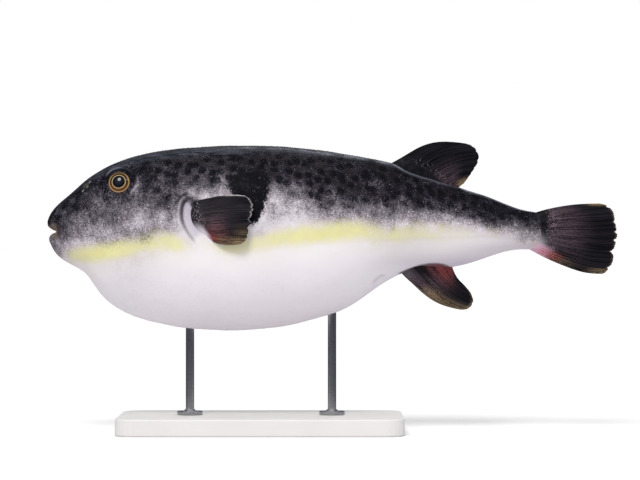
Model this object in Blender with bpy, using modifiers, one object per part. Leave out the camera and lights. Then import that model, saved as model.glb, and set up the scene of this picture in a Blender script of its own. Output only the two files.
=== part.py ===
"""A tiger puffer, life size, as a still display model on a plain stand.

Run it with blender --background --python part.py, or from Blender's text editor.

Metres, +Z up. The snout points along -X, the back is up, and the fish's left side faces -Y.
The origin is on the floor, under the middle of the fish.

The fish is shaped in millimetres, in its own frame: distance behind the snout, distance out
from the middle plane (left is negative), and height above an axis that runs from the mouth
to the tail fin. The function placed() turns those into metres above the floor.
"""

import math

import bmesh
import bpy
import numpy as np
from mathutils import Vector

MM = 0.001
GAP = 0.3  # left between neighbouring pieces, in millimetres
SIDES = {"left": -1, "right": 1}

# Driving sizes of the fish, in millimetres
TOTAL_LENGTH = 401
FLESH_LENGTH = 354  # from the snout to the middle of the tail fin's root
STEM_END_START = 338  # from here back the tail stem rounds off into the fin
GILL_DISTANCE = 96  # the gill opening, where the head ends
STEM_DISTANCE = 304  # behind the dorsal and anal fins, where the tail stem starts
RING_SPACING = 0.42  # of the square root of the distance, so rings crowd towards the snout
RING_POINTS = 40

# Outlines of the flesh: (distance behind the snout, height or breadth), in millimetres
BACK = (
    (0, 7), (1.8, 12.9), (6.5, 19), (15.5, 27.6), (28, 38.6), (45, 47.9), (70, 56.3), (105, 60.4),
    (145, 61.3), (185, 58.8), (222, 52.9), (244, 48), (264, 40), (288, 31.3), (312, 23.6),
    (334, 15.6), (354, 13.5),
)
BELLY = (
    (0, 3), (0.8, -4.6), (3.8, -12.6), (11.3, -20.4), (23, -27), (29, -32), (36.6, -43),
    (47, -52), (66, -60.5), (100, -67.6), (127, -69.2), (155, -67.5), (193, -59.2), (218, -48),
    (236, -35.6), (250, -28.2), (285, -24.4), (307, -18.3), (327, -12.6), (354, -13.6),
)
HALF_BREADTH = (
    (0, 2.5), (2, 8.8), (11, 19.2), (25, 27.6), (50, 36), (80, 43.5), (112, 49), (145, 51),
    (178, 48.5), (210, 42), (243, 31.5), (270, 23), (303, 15), (336, 8.2), (354, 5),
)
WIDEST_LEVEL = (
    (0, 0), (20, 0), (50, -3), (100, -11), (145, -13), (200, -8), (250, 3), (300, 3), (354, 0),
)
# How full a section is: 2 is an ellipse, more is squarer, less is more like a keel
BACK_FULLNESS = ((0, 2.2), (25, 2.6), (52, 3), (80, 2.7), (140, 2.3), (250, 2.1), (354, 2.2))
BELLY_FULLNESS = ((0, 2.2), (50, 2.2), (140, 2.15), (235, 1.9), (270, 1.7), (320, 1.9), (354, 2.2))
# Where the white belly pouch meets the flank, from the throat to the vent
POUCH_LINE = (
    (24, -30), (40, -21), (72, -16), (107, -13), (140, -12), (178, -9), (206, -12), (226, -24),
    (239, -36),
)

MOUTH_LEVEL = -0.3
LIP_HALF_WIDTH, LIP_HALF_HEIGHT = 12.8, 5.2  # the ridge of the lips
SLOT_HALF_WIDTH, SLOT_HALF_HEIGHT = 11.4, 2.2  # the opening behind the lips
LIP_THICKNESS = 4
LIP_STEPS = 4
MOUTH_DEPTH = 12.5
SNOUT_LENGTH = 10  # the stretch that blends from the lips to an upright section
SNOUT_STEPS = (0.14, 0.32, 0.52, 0.75)

TEETH_ARC_RADIUS = 9
TEETH_HALF_TURN = math.radians(48)
TEETH_FRONT = 6.6  # distance behind the snout
# A tooth plate's section: (forward of the arc, away from the bite), in millimetres
TOOTH_SECTION = ((-1.4, 5.6), (1.4, 5.6), (1.5, 2.6), (0.9, 1.0), (-0.2, 0.4), (-1.3, 2.2))

EYE_DISTANCE = 52.3
EYE_LEVEL = 34.6
EYE_OUT = 30.3  # from the middle plane to the middle of the lids' opening
EYE_OPENING_RADIUS = 7.6
EYEBALL_RADIUS = 10
EYE_AXIS = (-0.1, 0.96, 0.25)  # backward, out and up
ORBIT_FLAT_RADIUS = 8.5
ORBIT_BLEND_RADIUS = 16

FIN_STEPS_OUT, FIN_STEPS_ACROSS = 9, 9
FIN_EDGE = 0.35  # half the thickness at the margin
PECTORAL_SINK, PECTORAL_RISE = 5, 15.5

# Driving sizes of the stand, in millimetres
BELLY_CLEARANCE = 72
BASE_LENGTH, BASE_WIDTH, BASE_THICKNESS = 200, 110, 12
BASE_CORNER_RADIUS = 14
BASE_EDGE_BEVEL = 1
ROD_RADIUS = 3
ROD_STEPS = 18
ROD_FOOT_RADIUS, ROD_FOOT_THICKNESS = 9, 2.5
ROD_FILLET, ROD_CHAMFER = 1.5, 0.6
ROD_INSERTION = 9
ROD_DISTANCES = {"front": 100, "rear": 200}  # behind the snout


# Curves

def natural_spline(knots, values):
    """The cubic through (knot, value) pairs whose bend changes evenly and is nil at its ends."""
    step = np.diff(knots)
    slope = np.diff(values) / step
    system = np.diag(np.r_[1.0, 2 * (step[:-1] + step[1:]), 1.0])
    system += np.diag(np.r_[0.0, step[1:]], 1) + np.diag(np.r_[step[:-1], 0.0], -1)
    bend = np.linalg.solve(system, np.r_[0.0, 3 * np.diff(slope), 0.0])
    tilt = slope - step * (2 * bend[:-1] + bend[1:]) / 3
    twist = np.diff(bend) / (3 * step)

    def value(at):
        at = np.asarray(at, float)
        span = np.clip(np.searchsorted(knots, at) - 1, 0, len(step) - 1)
        past = at - knots[span]
        return values[span] + past * (tilt[span] + past * (bend[span] + past * twist[span]))

    return value


def outline(points):
    """A smooth function of the distance behind the snout. Its knots are on the distance's
    square root, which keeps the blunt snout round."""
    table = np.array(points, float)
    curve = natural_spline(np.sqrt(table[:, 0]), table[:, 1])
    return lambda distance: curve(np.sqrt(distance))


def route(points):
    """A smooth curve through points, as a function of 0 to 1 along it."""
    table = np.array(points, float)
    lengths = np.linalg.norm(np.diff(table, axis=0), axis=1)
    knots = np.r_[0.0, np.cumsum(lengths)] / lengths.sum()
    curves = [natural_spline(knots, column) for column in table.T]
    return lambda share: np.stack([curve(share) for curve in curves], axis=-1)


def eased(share):
    """0 to 1 with a soft start and a soft end."""
    share = np.clip(share, 0, 1)
    return share * share * (3 - 2 * share)


back_at, belly_at, half_breadth_at = outline(BACK), outline(BELLY), outline(HALF_BREADTH)
widest_level_at = outline(WIDEST_LEVEL)
back_fullness_at, belly_fullness_at = outline(BACK_FULLNESS), outline(BELLY_FULLNESS)
AXIS_HEIGHT = BELLY_CLEARANCE - float(belly_at(np.linspace(100, 155, 56)).min())


def placed(points):
    """Fish millimetres to metres above the floor."""
    return (np.asarray(points, float) + [-TOTAL_LENGTH / 2, 0, AXIS_HEIGHT]) * MM


# The flesh

def section(distance, grow=0.0):
    """The sizes of the cross-section at a distance: top, bottom, widest level, half breadth.
    Behind STEM_END_START it closes towards the tail fin, but never to a point."""
    closing = np.clip((distance - STEM_END_START) / (FLESH_LENGTH - STEM_END_START), 0, 0.985)
    size = np.sqrt(1 - closing**3)
    middle = widest_level_at(distance)
    top = middle + (back_at(distance) - middle) * size + grow
    bottom = middle + (belly_at(distance) - middle) * size - grow
    return top, bottom, middle, half_breadth_at(distance) * size + grow


def reach_and_fullness(distance, level):
    """How much of the way from the widest level to the skin a height is, and the fullness there."""
    top, bottom, middle, _ = section(distance)
    above = level > middle
    reach = np.abs(level - middle) / np.where(above, top - middle, middle - bottom)
    return reach, np.where(above, back_fullness_at(distance), belly_fullness_at(distance))


def flank_at(distance, level):
    """How far the flank is from the middle plane at a distance and a height."""
    reach, power = reach_and_fullness(distance, level)
    return section(distance)[3] * (1 - np.clip(reach, 0, 1) ** power) ** (1 / power)


def snout_front(out, level):
    """How far behind the snout the skin is, found by halving the stretch that it must be in."""
    near, far = np.zeros_like(out), np.full_like(out, 2.0 * SNOUT_LENGTH)
    for _ in range(40):
        middle = (near + far) / 2
        reach, power = reach_and_fullness(middle, level)
        inside = (np.abs(out) / section(middle)[3]) ** power + reach**power < 1
        near, far = np.where(inside, near, middle), np.where(inside, middle, far)
    return far


def ring(distance, grow=0.0):
    """Points round one cross-section, from the ridge of the back down the right side and up the
    left. Its upper and lower halves are superellipses that meet at the widest level."""
    turn = np.linspace(0, 2 * math.pi, RING_POINTS, endpoint=False)
    across, up = np.sin(turn), np.cos(turn)
    top, bottom, middle, half_breadth = section(distance, grow)
    power = 2 / np.where(up > 0, back_fullness_at(distance), belly_fullness_at(distance))
    reach = np.where(up > 0, top - middle, middle - bottom)
    out = half_breadth * np.sign(across) * np.abs(across) ** power
    level = middle + reach * np.sign(up) * np.abs(up) ** power
    return np.stack([np.full_like(out, distance), out, level], axis=-1)


def mouth_loop(half_width, half_height):
    """Distances out and heights of a loop round the mouth, pointed at its corners."""
    turn = np.linspace(0, 2 * math.pi, RING_POINTS, endpoint=False)
    up = np.cos(turn)
    return half_width * np.sin(turn), MOUTH_LEVEL + half_height * np.sign(up) * np.abs(up) ** 1.5


def snout_rings():
    """Rings from the bottom of the mouth, over the lips and back to an upright section."""
    ridge = mouth_loop(LIP_HALF_WIDTH, LIP_HALF_HEIGHT)
    slot = mouth_loop(SLOT_HALF_WIDTH, SLOT_HALF_HEIGHT)
    ridge_front = snout_front(*ridge)
    slot_front = np.maximum(ridge_front + 0.6, ridge_front.min() + LIP_THICKNESS)
    rings = [(np.full(RING_POINTS, float(MOUTH_DEPTH)), 0.9 * slot[0], slot[1])]
    for roll in np.linspace(math.pi / 2, 0, LIP_STEPS):
        inward, behind = math.sin(roll), 1 - math.cos(roll)
        out, level = (start + inward * (end - start) for start, end in zip(ridge, slot))
        rings.append((ridge_front + behind * (slot_front - ridge_front), out, level))
    upright = ring(SNOUT_LENGTH).T[1:]
    for share in SNOUT_STEPS:
        out, level = (start + share * (end - start) for start, end in zip(ridge, upright))
        rings.append((snout_front(out, level), out, level))
    return np.stack([np.stack(each, axis=-1) for each in rings])


def eye_frame(side):
    """The middle of the lids' opening and the way that the eye looks."""
    backward, outward, upward = EYE_AXIS
    middle = np.array([EYE_DISTANCE, side * EYE_OUT, EYE_LEVEL])
    axis = np.array([backward, side * outward, upward])
    return middle, axis / np.linalg.norm(axis)


def with_orbits(points):
    """Draws the skin round each eye to the plane of its lids: a brow above, a flat cheek below."""
    for side in SIDES.values():
        middle, axis = eye_frame(side)
        from_eye = points - middle
        proud = from_eye @ axis
        radius = np.linalg.norm(from_eye - proud[..., None] * axis, axis=-1)
        share = (radius - ORBIT_FLAT_RADIUS) / (ORBIT_BLEND_RADIUS - ORBIT_FLAT_RADIUS)
        blend = (1 - eased(share)) * (points[..., 1] * side > 0)
        points = points - (blend * proud)[..., None] * axis
    return points


def flesh_rings(start, end, grow=0.0):
    """Upright sections from start to end, closest together near the snout."""
    first, last = math.sqrt(start), math.sqrt(end)
    count = max(2, round((last - first) / RING_SPACING) + 1)
    distances = np.linspace(first, last, count) ** 2
    return with_orbits(np.stack([ring(distance, grow) for distance in distances]))


# Making objects

def material(name, colour, roughness, metallic=0.0):
    made = bpy.data.materials.new(name)
    made.use_nodes = True
    shader = made.node_tree.nodes["Principled BSDF"]
    shader.inputs["Base Color"].default_value = (*colour, 1)
    shader.inputs["Roughness"].default_value = roughness
    shader.inputs["Metallic"].default_value = metallic
    made.diffuse_color = (*colour, 1)
    return made


def finished(name, mesh, finish, collection):
    obj = bpy.data.objects.new(name, mesh)
    collection.objects.link(obj)
    if finish:
        mesh.materials.append(finish)
    mesh.shade_smooth()
    if mesh.polygons:
        mesh.set_sharp_from_angle(angle=math.radians(40))
    return obj


def fish_loft(name, rings, finish, collection):
    """A closed object over a stack of rings with the same number of points, with end caps."""
    count, around = rings.shape[:2]
    place = np.arange(count * around).reshape(count, around)
    here, there = place[:-1], place[1:]
    walls = np.stack([here, there, np.roll(there, -1, 1), np.roll(here, -1, 1)], axis=-1)
    faces = walls.reshape(-1, 4).tolist() + [place[0].tolist(), place[-1][::-1].tolist()]
    mesh = bpy.data.meshes.new(name)
    mesh.from_pydata(placed(rings).reshape(-1, 3).tolist(), [], faces)
    work = bmesh.new()
    work.from_mesh(mesh)
    bmesh.ops.recalc_face_normals(work, faces=work.faces)
    work.to_mesh(mesh)
    work.free()
    return finished(name, mesh, finish, collection)


def hidden_cutter(obj):
    obj.hide_render = True
    obj.display_type = "WIRE"
    return obj


def cut(obj, cutter, operation="DIFFERENCE"):
    boolean = obj.modifiers.new(f"{operation.lower()} {cutter.name}", "BOOLEAN")
    boolean.operation = operation
    boolean.object = cutter


# Flesh pieces

def pouch_cutter(name, lowered, collection):
    """A prism across the fish, under the line where the belly pouch meets the flank."""
    along = route(POUCH_LINE)(np.linspace(0, 1, 30))
    beyond = 2
    floor_level = min(level for _, level in BELLY) - 10 * beyond
    corners = [(along[-1][0] + beyond, floor_level), (along[0][0] - beyond, floor_level)]
    side_view = np.vstack([along - [0, lowered], corners])
    half_width = 1.3 * max(breadth for _, breadth in HALF_BREADTH)
    rings = np.stack([
        np.stack([side_view[:, 0], np.full(len(side_view), out), side_view[:, 1]], axis=-1)
        for out in (-half_width, half_width)
    ])
    return hidden_cutter(fish_loft(name, rings, None, collection))


def make_flesh(finishes, parts, cutters):
    """Head, trunk, belly pouch and tail stem, parted by thin cuts."""
    dark, pale = finishes["back_skin"], finishes["belly_skin"]
    head_rings = np.concatenate([snout_rings(), flesh_rings(SNOUT_LENGTH, GILL_DISTANCE)])
    head = fish_loft("head", head_rings, dark, parts)
    trunk = fish_loft("trunk", flesh_rings(GILL_DISTANCE + GAP, STEM_DISTANCE), dark, parts)
    fish_loft("tail_stem", flesh_rings(STEM_DISTANCE + GAP, FLESH_LENGTH), dark, parts)
    throat, vent = POUCH_LINE[0][0], POUCH_LINE[-1][0]
    belly = fish_loft("belly", flesh_rings(throat - 2, vent + 3), pale, parts)
    above_pouch = pouch_cutter("pouch_room", 0, cutters)
    cut(head, above_pouch)
    cut(trunk, above_pouch)
    cut(belly, pouch_cutter("pouch_block", 1.5 * GAP, cutters), "INTERSECT")
    return head, belly


def make_eyes(head, finish, parts, cutters):
    """Eyeballs, sunk so that the lids' opening shows a cap of each, and their sockets."""
    sunk = math.sqrt(EYEBALL_RADIUS**2 - EYE_OPENING_RADIUS**2)
    for side_name, side in SIDES.items():
        middle, axis = eye_frame(side)
        turn = Vector(axis).to_track_quat("Z", "Y").to_matrix().to_4x4()
        for name, radius, collection in (
            (f"eye_{side_name}", EYEBALL_RADIUS, parts),
            (f"socket_{side_name}", EYEBALL_RADIUS + GAP, cutters),
        ):
            mesh = bpy.data.meshes.new(name)
            work = bmesh.new()
            bmesh.ops.create_uvsphere(
                work, u_segments=16, v_segments=12, radius=radius * MM, matrix=turn
            )
            work.to_mesh(mesh)
            work.free()
            ball = finished(name, mesh, finish, collection)
            ball.location = placed(middle - sunk * axis)
        cut(head, hidden_cutter(ball))


def teeth_rings(upward, grow=0.0):
    """A beak plate: the tooth section swept round an arc."""
    wedge = np.array(TOOTH_SECTION)
    from_middle = wedge - wedge.mean(axis=0)
    wedge = wedge + 1.6 * grow * from_middle / np.linalg.norm(from_middle, axis=1)[:, None]
    half_turn = TEETH_HALF_TURN + grow / TEETH_ARC_RADIUS
    turn = np.linspace(-half_turn, half_turn, 9)[:, None]
    radius = TEETH_ARC_RADIUS + wedge[:, 0]
    distance = TEETH_FRONT + TEETH_ARC_RADIUS - radius * np.cos(turn)
    level = np.broadcast_to(MOUTH_LEVEL + upward * wedge[:, 1], distance.shape)
    return np.stack([distance, radius * np.sin(turn), level], axis=-1)


def make_teeth(head, finish, parts, cutters):
    """The beak's upper and lower plates, rooted in the jaws."""
    for name, upward in (("teeth_upper", 1), ("teeth_lower", -1)):
        fish_loft(name, teeth_rings(upward), finish, parts)
        root = fish_loft(f"{name}_root", teeth_rings(upward, GAP), finish, cutters)
        cut(head, hidden_cutter(root))


# Fins

class Fin:
    """A fin between four edges in side view: the front ray, the last ray, the root and the
    margin. Points inside are a Coons patch: the sum of the two straight blends between facing
    edges, less the blend of the corners."""

    def __init__(self, front_ray, last_ray, root, margin):
        self.front_ray, self.last_ray = route(front_ray), route(last_ray)
        self.root, self.margin = route(root), route(margin)

    def side_view(self, out, across):
        """Side-view points at shares of the way out along the rays and across them."""
        up, over = out[:, None, None], across[None, :, None]
        rays = (1 - over) * self.front_ray(out)[:, None] + over * self.last_ray(out)[:, None]
        lines = (1 - up) * self.root(across)[None] + up * self.margin(across)[None]
        low = (1 - over) * self.root(0.0) + over * self.root(1.0)
        high = (1 - over) * self.margin(0.0) + over * self.margin(1.0)
        return rays + lines - (1 - up) * low - up * high


DORSAL_FIN = Fin(
    front_ray=((238, 46), (246.5, 50.6), (255.6, 56), (263.4, 60.1), (275, 63), (290.7, 62.4)),
    last_ray=((286, 24), (289, 30.5), (293, 33.8)),
    root=((238, 46), (264, 33), (286, 24)),
    margin=((290.7, 62.4), (299, 60), (303.4, 53), (300, 43.7), (293, 33.8)),
)
ANAL_FIN = Fin(
    front_ray=((245, -22), (248.5, -28.8), (256, -36.3), (263.4, -43.2), (276, -51.3), (290.6, -55.3)),
    last_ray=((283, -16), (285.2, -26.4), (289.2, -33.8), (292.1, -36.8)),
    root=((245, -22), (264, -16), (283, -16)),
    margin=((290.6, -55.3), (296.8, -54), (299.5, -49), (297.5, -43), (292.1, -36.8)),
)
TAIL_FIN = Fin(
    front_ray=((336, 10.5), (345.7, 14), (357, 16.8), (372, 19), (389, 19.6)),
    last_ray=((334, -9.5), (344.7, -15.9), (357, -21.8), (367, -25.8), (380, -29.4), (391.5, -30)),
    root=((336, 10.5), (344, 0), (334, -9.5)),
    margin=((389, 19.6), (397, 16.3), (399.5, 8), (401, -3.5), (399, -13), (397, -24), (391.5, -30)),
)
PECTORAL_FIN = Fin(
    front_ray=((104.5, 20.5), (117.6, 23.2), (134, 24.9), (141, 24.2)),
    last_ray=((114.5, -5.5), (121.5, -8.6), (130, -9.6), (137.5, -9)),
    root=((104.5, 20.5), (102.8, 13), (104.3, 5), (109.5, -0.5), (114.5, -5.5)),
    margin=((141, 24.2), (145.7, 18), (144.3, 9), (142.6, 0), (141, -6), (137.5, -9)),
)


def fin_object(name, fin, half_thickness, middle_sheet, finish, parts):
    """A closed fin: rings that run round it at each step out from the root. half_thickness is a
    function of the shares out and across, and middle_sheet of side-view points and the share
    out."""
    out, across = np.linspace(0, 1, FIN_STEPS_OUT), np.linspace(0, 1, FIN_STEPS_ACROSS)
    view = fin.side_view(out, across)
    middle = middle_sheet(view, out[:, None])
    half = half_thickness(out[:, None], across[None, :])
    view_round = np.concatenate([view, view[:, ::-1]], axis=1)
    sheet_round = np.concatenate([middle - half, (middle + half)[:, ::-1]], axis=1)
    rings = np.stack([view_round[..., 0], sheet_round, view_round[..., 1]], axis=-1)
    return fish_loft(name, rings, finish, parts)


def fleshy_foot(foot, rays, share):
    """Half thickness: thick in the fleshy base, which ends at that share of the way out, then
    thinning evenly to the margin. Both edges are thinner than the middle."""

    def half(out, across):
        base = foot + (rays - foot) * eased(out / share)
        blade = rays + (FIN_EDGE - rays) * np.clip((out - share) / (1 - share), 0, 1)
        rounded = 1 - 0.75 * np.abs(2 * across - 1) ** 4
        return np.maximum(np.where(out < share, base, blade) * rounded, FIN_EDGE)

    return half


def upright(view, out):
    """The middle sheet of a fin that stands in the fish's middle plane."""
    return np.zeros(view.shape[:2])


def laid_back(side):
    """The middle sheet of a pectoral fin: it grows steeply out of the flank, then lies back."""

    def sheet(view, out):
        flank = flank_at(view[..., 0], view[..., 1])
        return side * (flank - PECTORAL_SINK + PECTORAL_RISE * out**0.6)

    return sheet


def make_fins(finish, parts, cutters):
    """The fins, each trimmed by the flesh that it grows from, made larger by the gap."""
    stretches = (
        (GILL_DISTANCE / 2, GILL_DISTANCE), (GILL_DISTANCE + GAP, STEM_DISTANCE),
        (STEM_DISTANCE + GAP, FLESH_LENGTH), (FLESH_LENGTH + GAP, FLESH_LENGTH + 2 * GAP),
    )
    room_rings = np.concatenate([flesh_rings(start, end, GAP) for start, end in stretches])
    room = fish_loft("flesh_room", room_rings, None, cutters)
    fins = [
        fin_object("fin_dorsal", DORSAL_FIN, fleshy_foot(5.5, 1.3, 0.3), upright, finish, parts),
        fin_object("fin_anal", ANAL_FIN, fleshy_foot(9, 1.6, 0.42), upright, finish, parts),
        fin_object("fin_tail", TAIL_FIN, fleshy_foot(2.6, 1.3, 0.3), upright, finish, parts),
    ]
    for side_name, side in SIDES.items():
        name, half = f"fin_pectoral_{side_name}", fleshy_foot(3.4, 1.1, 0.3)
        fins.append(fin_object(name, PECTORAL_FIN, half, laid_back(side), finish, parts))
    for fin in fins:
        cut(fin, hidden_cutter(room))


# The stand

def rod_profile(foot, end):
    """Half the outline of a rod that stands on its foot, as (radius, height), top to bottom."""
    shoulder = foot + ROD_FOOT_THICKNESS
    return (
        (0, end), (ROD_RADIUS - ROD_CHAMFER, end), (ROD_RADIUS, end - ROD_CHAMFER),
        (ROD_RADIUS, shoulder + ROD_FILLET), (ROD_RADIUS + ROD_FILLET, shoulder),
        (ROD_FOOT_RADIUS - ROD_CHAMFER, shoulder), (ROD_FOOT_RADIUS, shoulder - ROD_CHAMFER),
        (ROD_FOOT_RADIUS, foot), (0, foot),
    )


def make_rods(belly, finish, parts, cutters):
    """Two turned rods, each with a foot on the base and its top in the belly."""
    for place, distance in ROD_DISTANCES.items():
        name = f"stand_rod_{place}"
        end = float(belly_at(distance)) + ROD_INSERTION + AXIS_HEIGHT
        profile = rod_profile(BASE_THICKNESS + GAP, end)
        mesh = bpy.data.meshes.new(name)
        edges = [(i, i + 1) for i in range(len(profile) - 1)]
        mesh.from_pydata([(radius * MM, 0, height * MM) for radius, height in profile], edges, [])
        rod = finished(name, mesh, finish, parts)
        rod.location.x = (distance - TOTAL_LENGTH / 2) * MM
        turned = rod.modifiers.new("turned", "SCREW")
        turned.steps = turned.render_steps = ROD_STEPS
        turned.use_merge_vertices = True
        turned.merge_threshold = 0.00001
        hole_depth = 2 * ROD_INSERTION
        hole_middle = end + GAP - hole_depth / 2
        bpy.ops.mesh.primitive_cylinder_add(
            vertices=ROD_STEPS, radius=(ROD_RADIUS + GAP) * MM, depth=hole_depth * MM,
            location=(rod.location.x, 0, hole_middle * MM),
        )
        hole = bpy.context.object
        hole.name = f"rod_hole_{place}"
        for owner in hole.users_collection:
            owner.objects.unlink(hole)
        cutters.objects.link(hole)
        cut(belly, hidden_cutter(hole))


def make_base(finish, parts):
    """A flat base with rounded corners, centred between the rods."""
    mesh = bpy.data.meshes.new("stand_base")
    work = bmesh.new()
    bmesh.ops.create_cube(work, size=1)
    size = (BASE_LENGTH * MM, BASE_WIDTH * MM, BASE_THICKNESS * MM)
    bmesh.ops.scale(work, vec=size, verts=work.verts)
    upright_edges = [e for e in work.edges if abs(e.verts[0].co.z - e.verts[1].co.z) > MM]
    bmesh.ops.bevel(
        work, geom=upright_edges, offset=BASE_CORNER_RADIUS * MM, segments=6, profile=0.5,
        affect="EDGES",
    )
    work.to_mesh(mesh)
    work.free()
    base = finished("stand_base", mesh, finish, parts)
    middle = sum(ROD_DISTANCES.values()) / len(ROD_DISTANCES)
    base.location = ((middle - TOTAL_LENGTH / 2) * MM, 0, BASE_THICKNESS / 2 * MM)
    bevel = base.modifiers.new("softened edges", "BEVEL")
    bevel.width = BASE_EDGE_BEVEL * MM
    bevel.segments = 2
    bevel.limit_method = "ANGLE"
    bevel.angle_limit = math.radians(60)


def main():
    for obj in list(bpy.data.objects):
        bpy.data.objects.remove(obj)
    parts = bpy.data.collections.new("tiger_puffer")
    cutters = bpy.data.collections.new("cutters")
    for collection in (parts, cutters):
        bpy.context.scene.collection.children.link(collection)
    finishes = {
        "back_skin": material("back_skin", (0.05, 0.047, 0.052), 0.35),
        "belly_skin": material("belly_skin", (0.82, 0.79, 0.80), 0.32),
        "fin_skin": material("fin_skin", (0.035, 0.028, 0.03), 0.4),
        "eye": material("eye", (0.01, 0.01, 0.012), 0.05),
        "teeth": material("teeth", (0.75, 0.69, 0.55), 0.3),
        "stand_paint": material("stand_paint", (0.62, 0.61, 0.59), 0.5),
        "stand_steel": material("stand_steel", (0.6, 0.6, 0.61), 0.25, 1.0),
    }
    head, belly = make_flesh(finishes, parts, cutters)
    make_eyes(head, finishes["eye"], parts, cutters)
    make_teeth(head, finishes["teeth"], parts, cutters)
    make_fins(finishes["fin_skin"], parts, cutters)
    make_rods(belly, finishes["stand_steel"], parts, cutters)
    make_base(finishes["stand_paint"], parts)


main()
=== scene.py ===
# %% [markdown]
# # A tiger puffer on a museum stand
# A tiger puffer is a round, scaleless fish with a beak, rubbery skin and stiff dark fins. A museum
# shows it as a painted cast on a small stand. A measured model in plain solids fixes every size and
# place, and this lesson gives it skin, eyes, fins, prickles and paint. The plain model is loaded first
# and is never moved: each new surface is worked out in its frame, so nothing has to be fitted later.

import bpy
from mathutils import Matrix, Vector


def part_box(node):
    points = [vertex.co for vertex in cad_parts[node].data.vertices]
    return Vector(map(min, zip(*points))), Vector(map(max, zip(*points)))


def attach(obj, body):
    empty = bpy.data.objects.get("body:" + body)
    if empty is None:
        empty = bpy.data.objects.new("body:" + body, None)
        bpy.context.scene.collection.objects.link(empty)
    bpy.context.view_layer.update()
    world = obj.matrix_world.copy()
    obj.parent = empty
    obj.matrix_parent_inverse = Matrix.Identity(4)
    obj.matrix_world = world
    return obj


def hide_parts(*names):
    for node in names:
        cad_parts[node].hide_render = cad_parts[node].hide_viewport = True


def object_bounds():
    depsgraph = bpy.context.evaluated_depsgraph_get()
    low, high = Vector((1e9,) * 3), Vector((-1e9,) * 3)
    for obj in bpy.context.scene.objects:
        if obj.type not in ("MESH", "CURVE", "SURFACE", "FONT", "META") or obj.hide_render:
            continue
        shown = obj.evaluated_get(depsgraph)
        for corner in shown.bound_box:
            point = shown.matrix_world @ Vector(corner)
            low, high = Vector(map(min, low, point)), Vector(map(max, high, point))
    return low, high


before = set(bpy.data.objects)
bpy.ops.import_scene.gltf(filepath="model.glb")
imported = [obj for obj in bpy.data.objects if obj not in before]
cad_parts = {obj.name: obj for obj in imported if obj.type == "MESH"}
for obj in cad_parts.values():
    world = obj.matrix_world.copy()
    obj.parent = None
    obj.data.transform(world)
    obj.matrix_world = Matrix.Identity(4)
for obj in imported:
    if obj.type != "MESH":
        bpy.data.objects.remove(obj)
cad_low, cad_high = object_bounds()
print("frame:", len(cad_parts), "solids,", [round(1000 * v) for v in cad_high - cad_low], "mm")

# %% [markdown]
# ## The fish's own millimetres
# A fish is easiest to think of from its snout: so far behind it, so far out from the middle plane, so
# high above a line from mouth to tail. One function turns such points into the frame's metres. Its two
# offsets come from the frame: the snout is its lowest X, and the belly's lowest point gives the height.

# %% Measures and curves
import math

import bmesh
import bpy
import numpy as np

MM = 0.001
SIDES = {"left": -1, "right": 1}


def natural_spline(knots, values):
    """The cubic through (knot, value) pairs whose bend changes evenly and is nil at its ends."""
    step = np.diff(knots)
    slope = np.diff(values) / step
    system = np.diag(np.r_[1.0, 2 * (step[:-1] + step[1:]), 1.0])
    system += np.diag(np.r_[0.0, step[1:]], 1) + np.diag(np.r_[step[:-1], 0.0], -1)
    bend = np.linalg.solve(system, np.r_[0.0, 3 * np.diff(slope), 0.0])
    tilt = slope - step * (2 * bend[:-1] + bend[1:]) / 3
    twist = np.diff(bend) / (3 * step)

    def value(at):
        at = np.asarray(at, float)
        span = np.clip(np.searchsorted(knots, at) - 1, 0, len(step) - 1)
        past = at - knots[span]
        return values[span] + past * (tilt[span] + past * (bend[span] + past * twist[span]))

    return value


def outline(points):
    """A smooth function of the distance behind the snout, with its knots on that distance's square
    root, which keeps the blunt snout round."""
    table = np.array(points, float)
    curve = natural_spline(np.sqrt(table[:, 0]), table[:, 1])
    return lambda distance: curve(np.sqrt(np.maximum(distance, 0)))


def route(points):
    """A smooth curve through points, as a function of 0 to 1 along it."""
    table = np.array(points, float)
    lengths = np.linalg.norm(np.diff(table, axis=0), axis=1)
    knots = np.r_[0.0, np.cumsum(lengths)] / lengths.sum()
    curves = [natural_spline(knots, column) for column in table.T]
    return lambda share: np.stack([curve(share) for curve in curves], axis=-1)


def eased(share):
    """0 to 1 with a soft start and a soft end."""
    share = np.clip(share, 0, 1)
    return share * share * (3 - 2 * share)


def risen(value, start, end):
    """0 up to the start and 1 from the end, eased between them."""
    return eased((value - start) / (end - start))


def ended(value, start, end):
    """1 up to the start and 0 from the end, eased between them."""
    return 1 - risen(value, start, end)


def unit(vectors):
    """The same directions, each of length 1."""
    return vectors / np.linalg.norm(vectors, axis=-1, keepdims=True)


def hump(offset, width):
    """A bell: 1 where the offset is 0, and nearly 0 at two widths."""
    return np.exp(-(offset / width) ** 2)


print("midway: eased", eased(0.5), "and a hump at its width", round(float(hump(1, 1)), 2))

# %% [markdown]
# ## The shape of the flesh
# The body has no bones near its surface, so it is all slow curves. Sculpting would do, but a measured
# model wants numbers: here are the outlines from above and from the side, as a few heights each. Every
# upright section is a superellipse between them, squarer over the brow and keeled under the tail. The
# solids of the frame use the same figures, so the skin meets them exactly.

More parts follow.
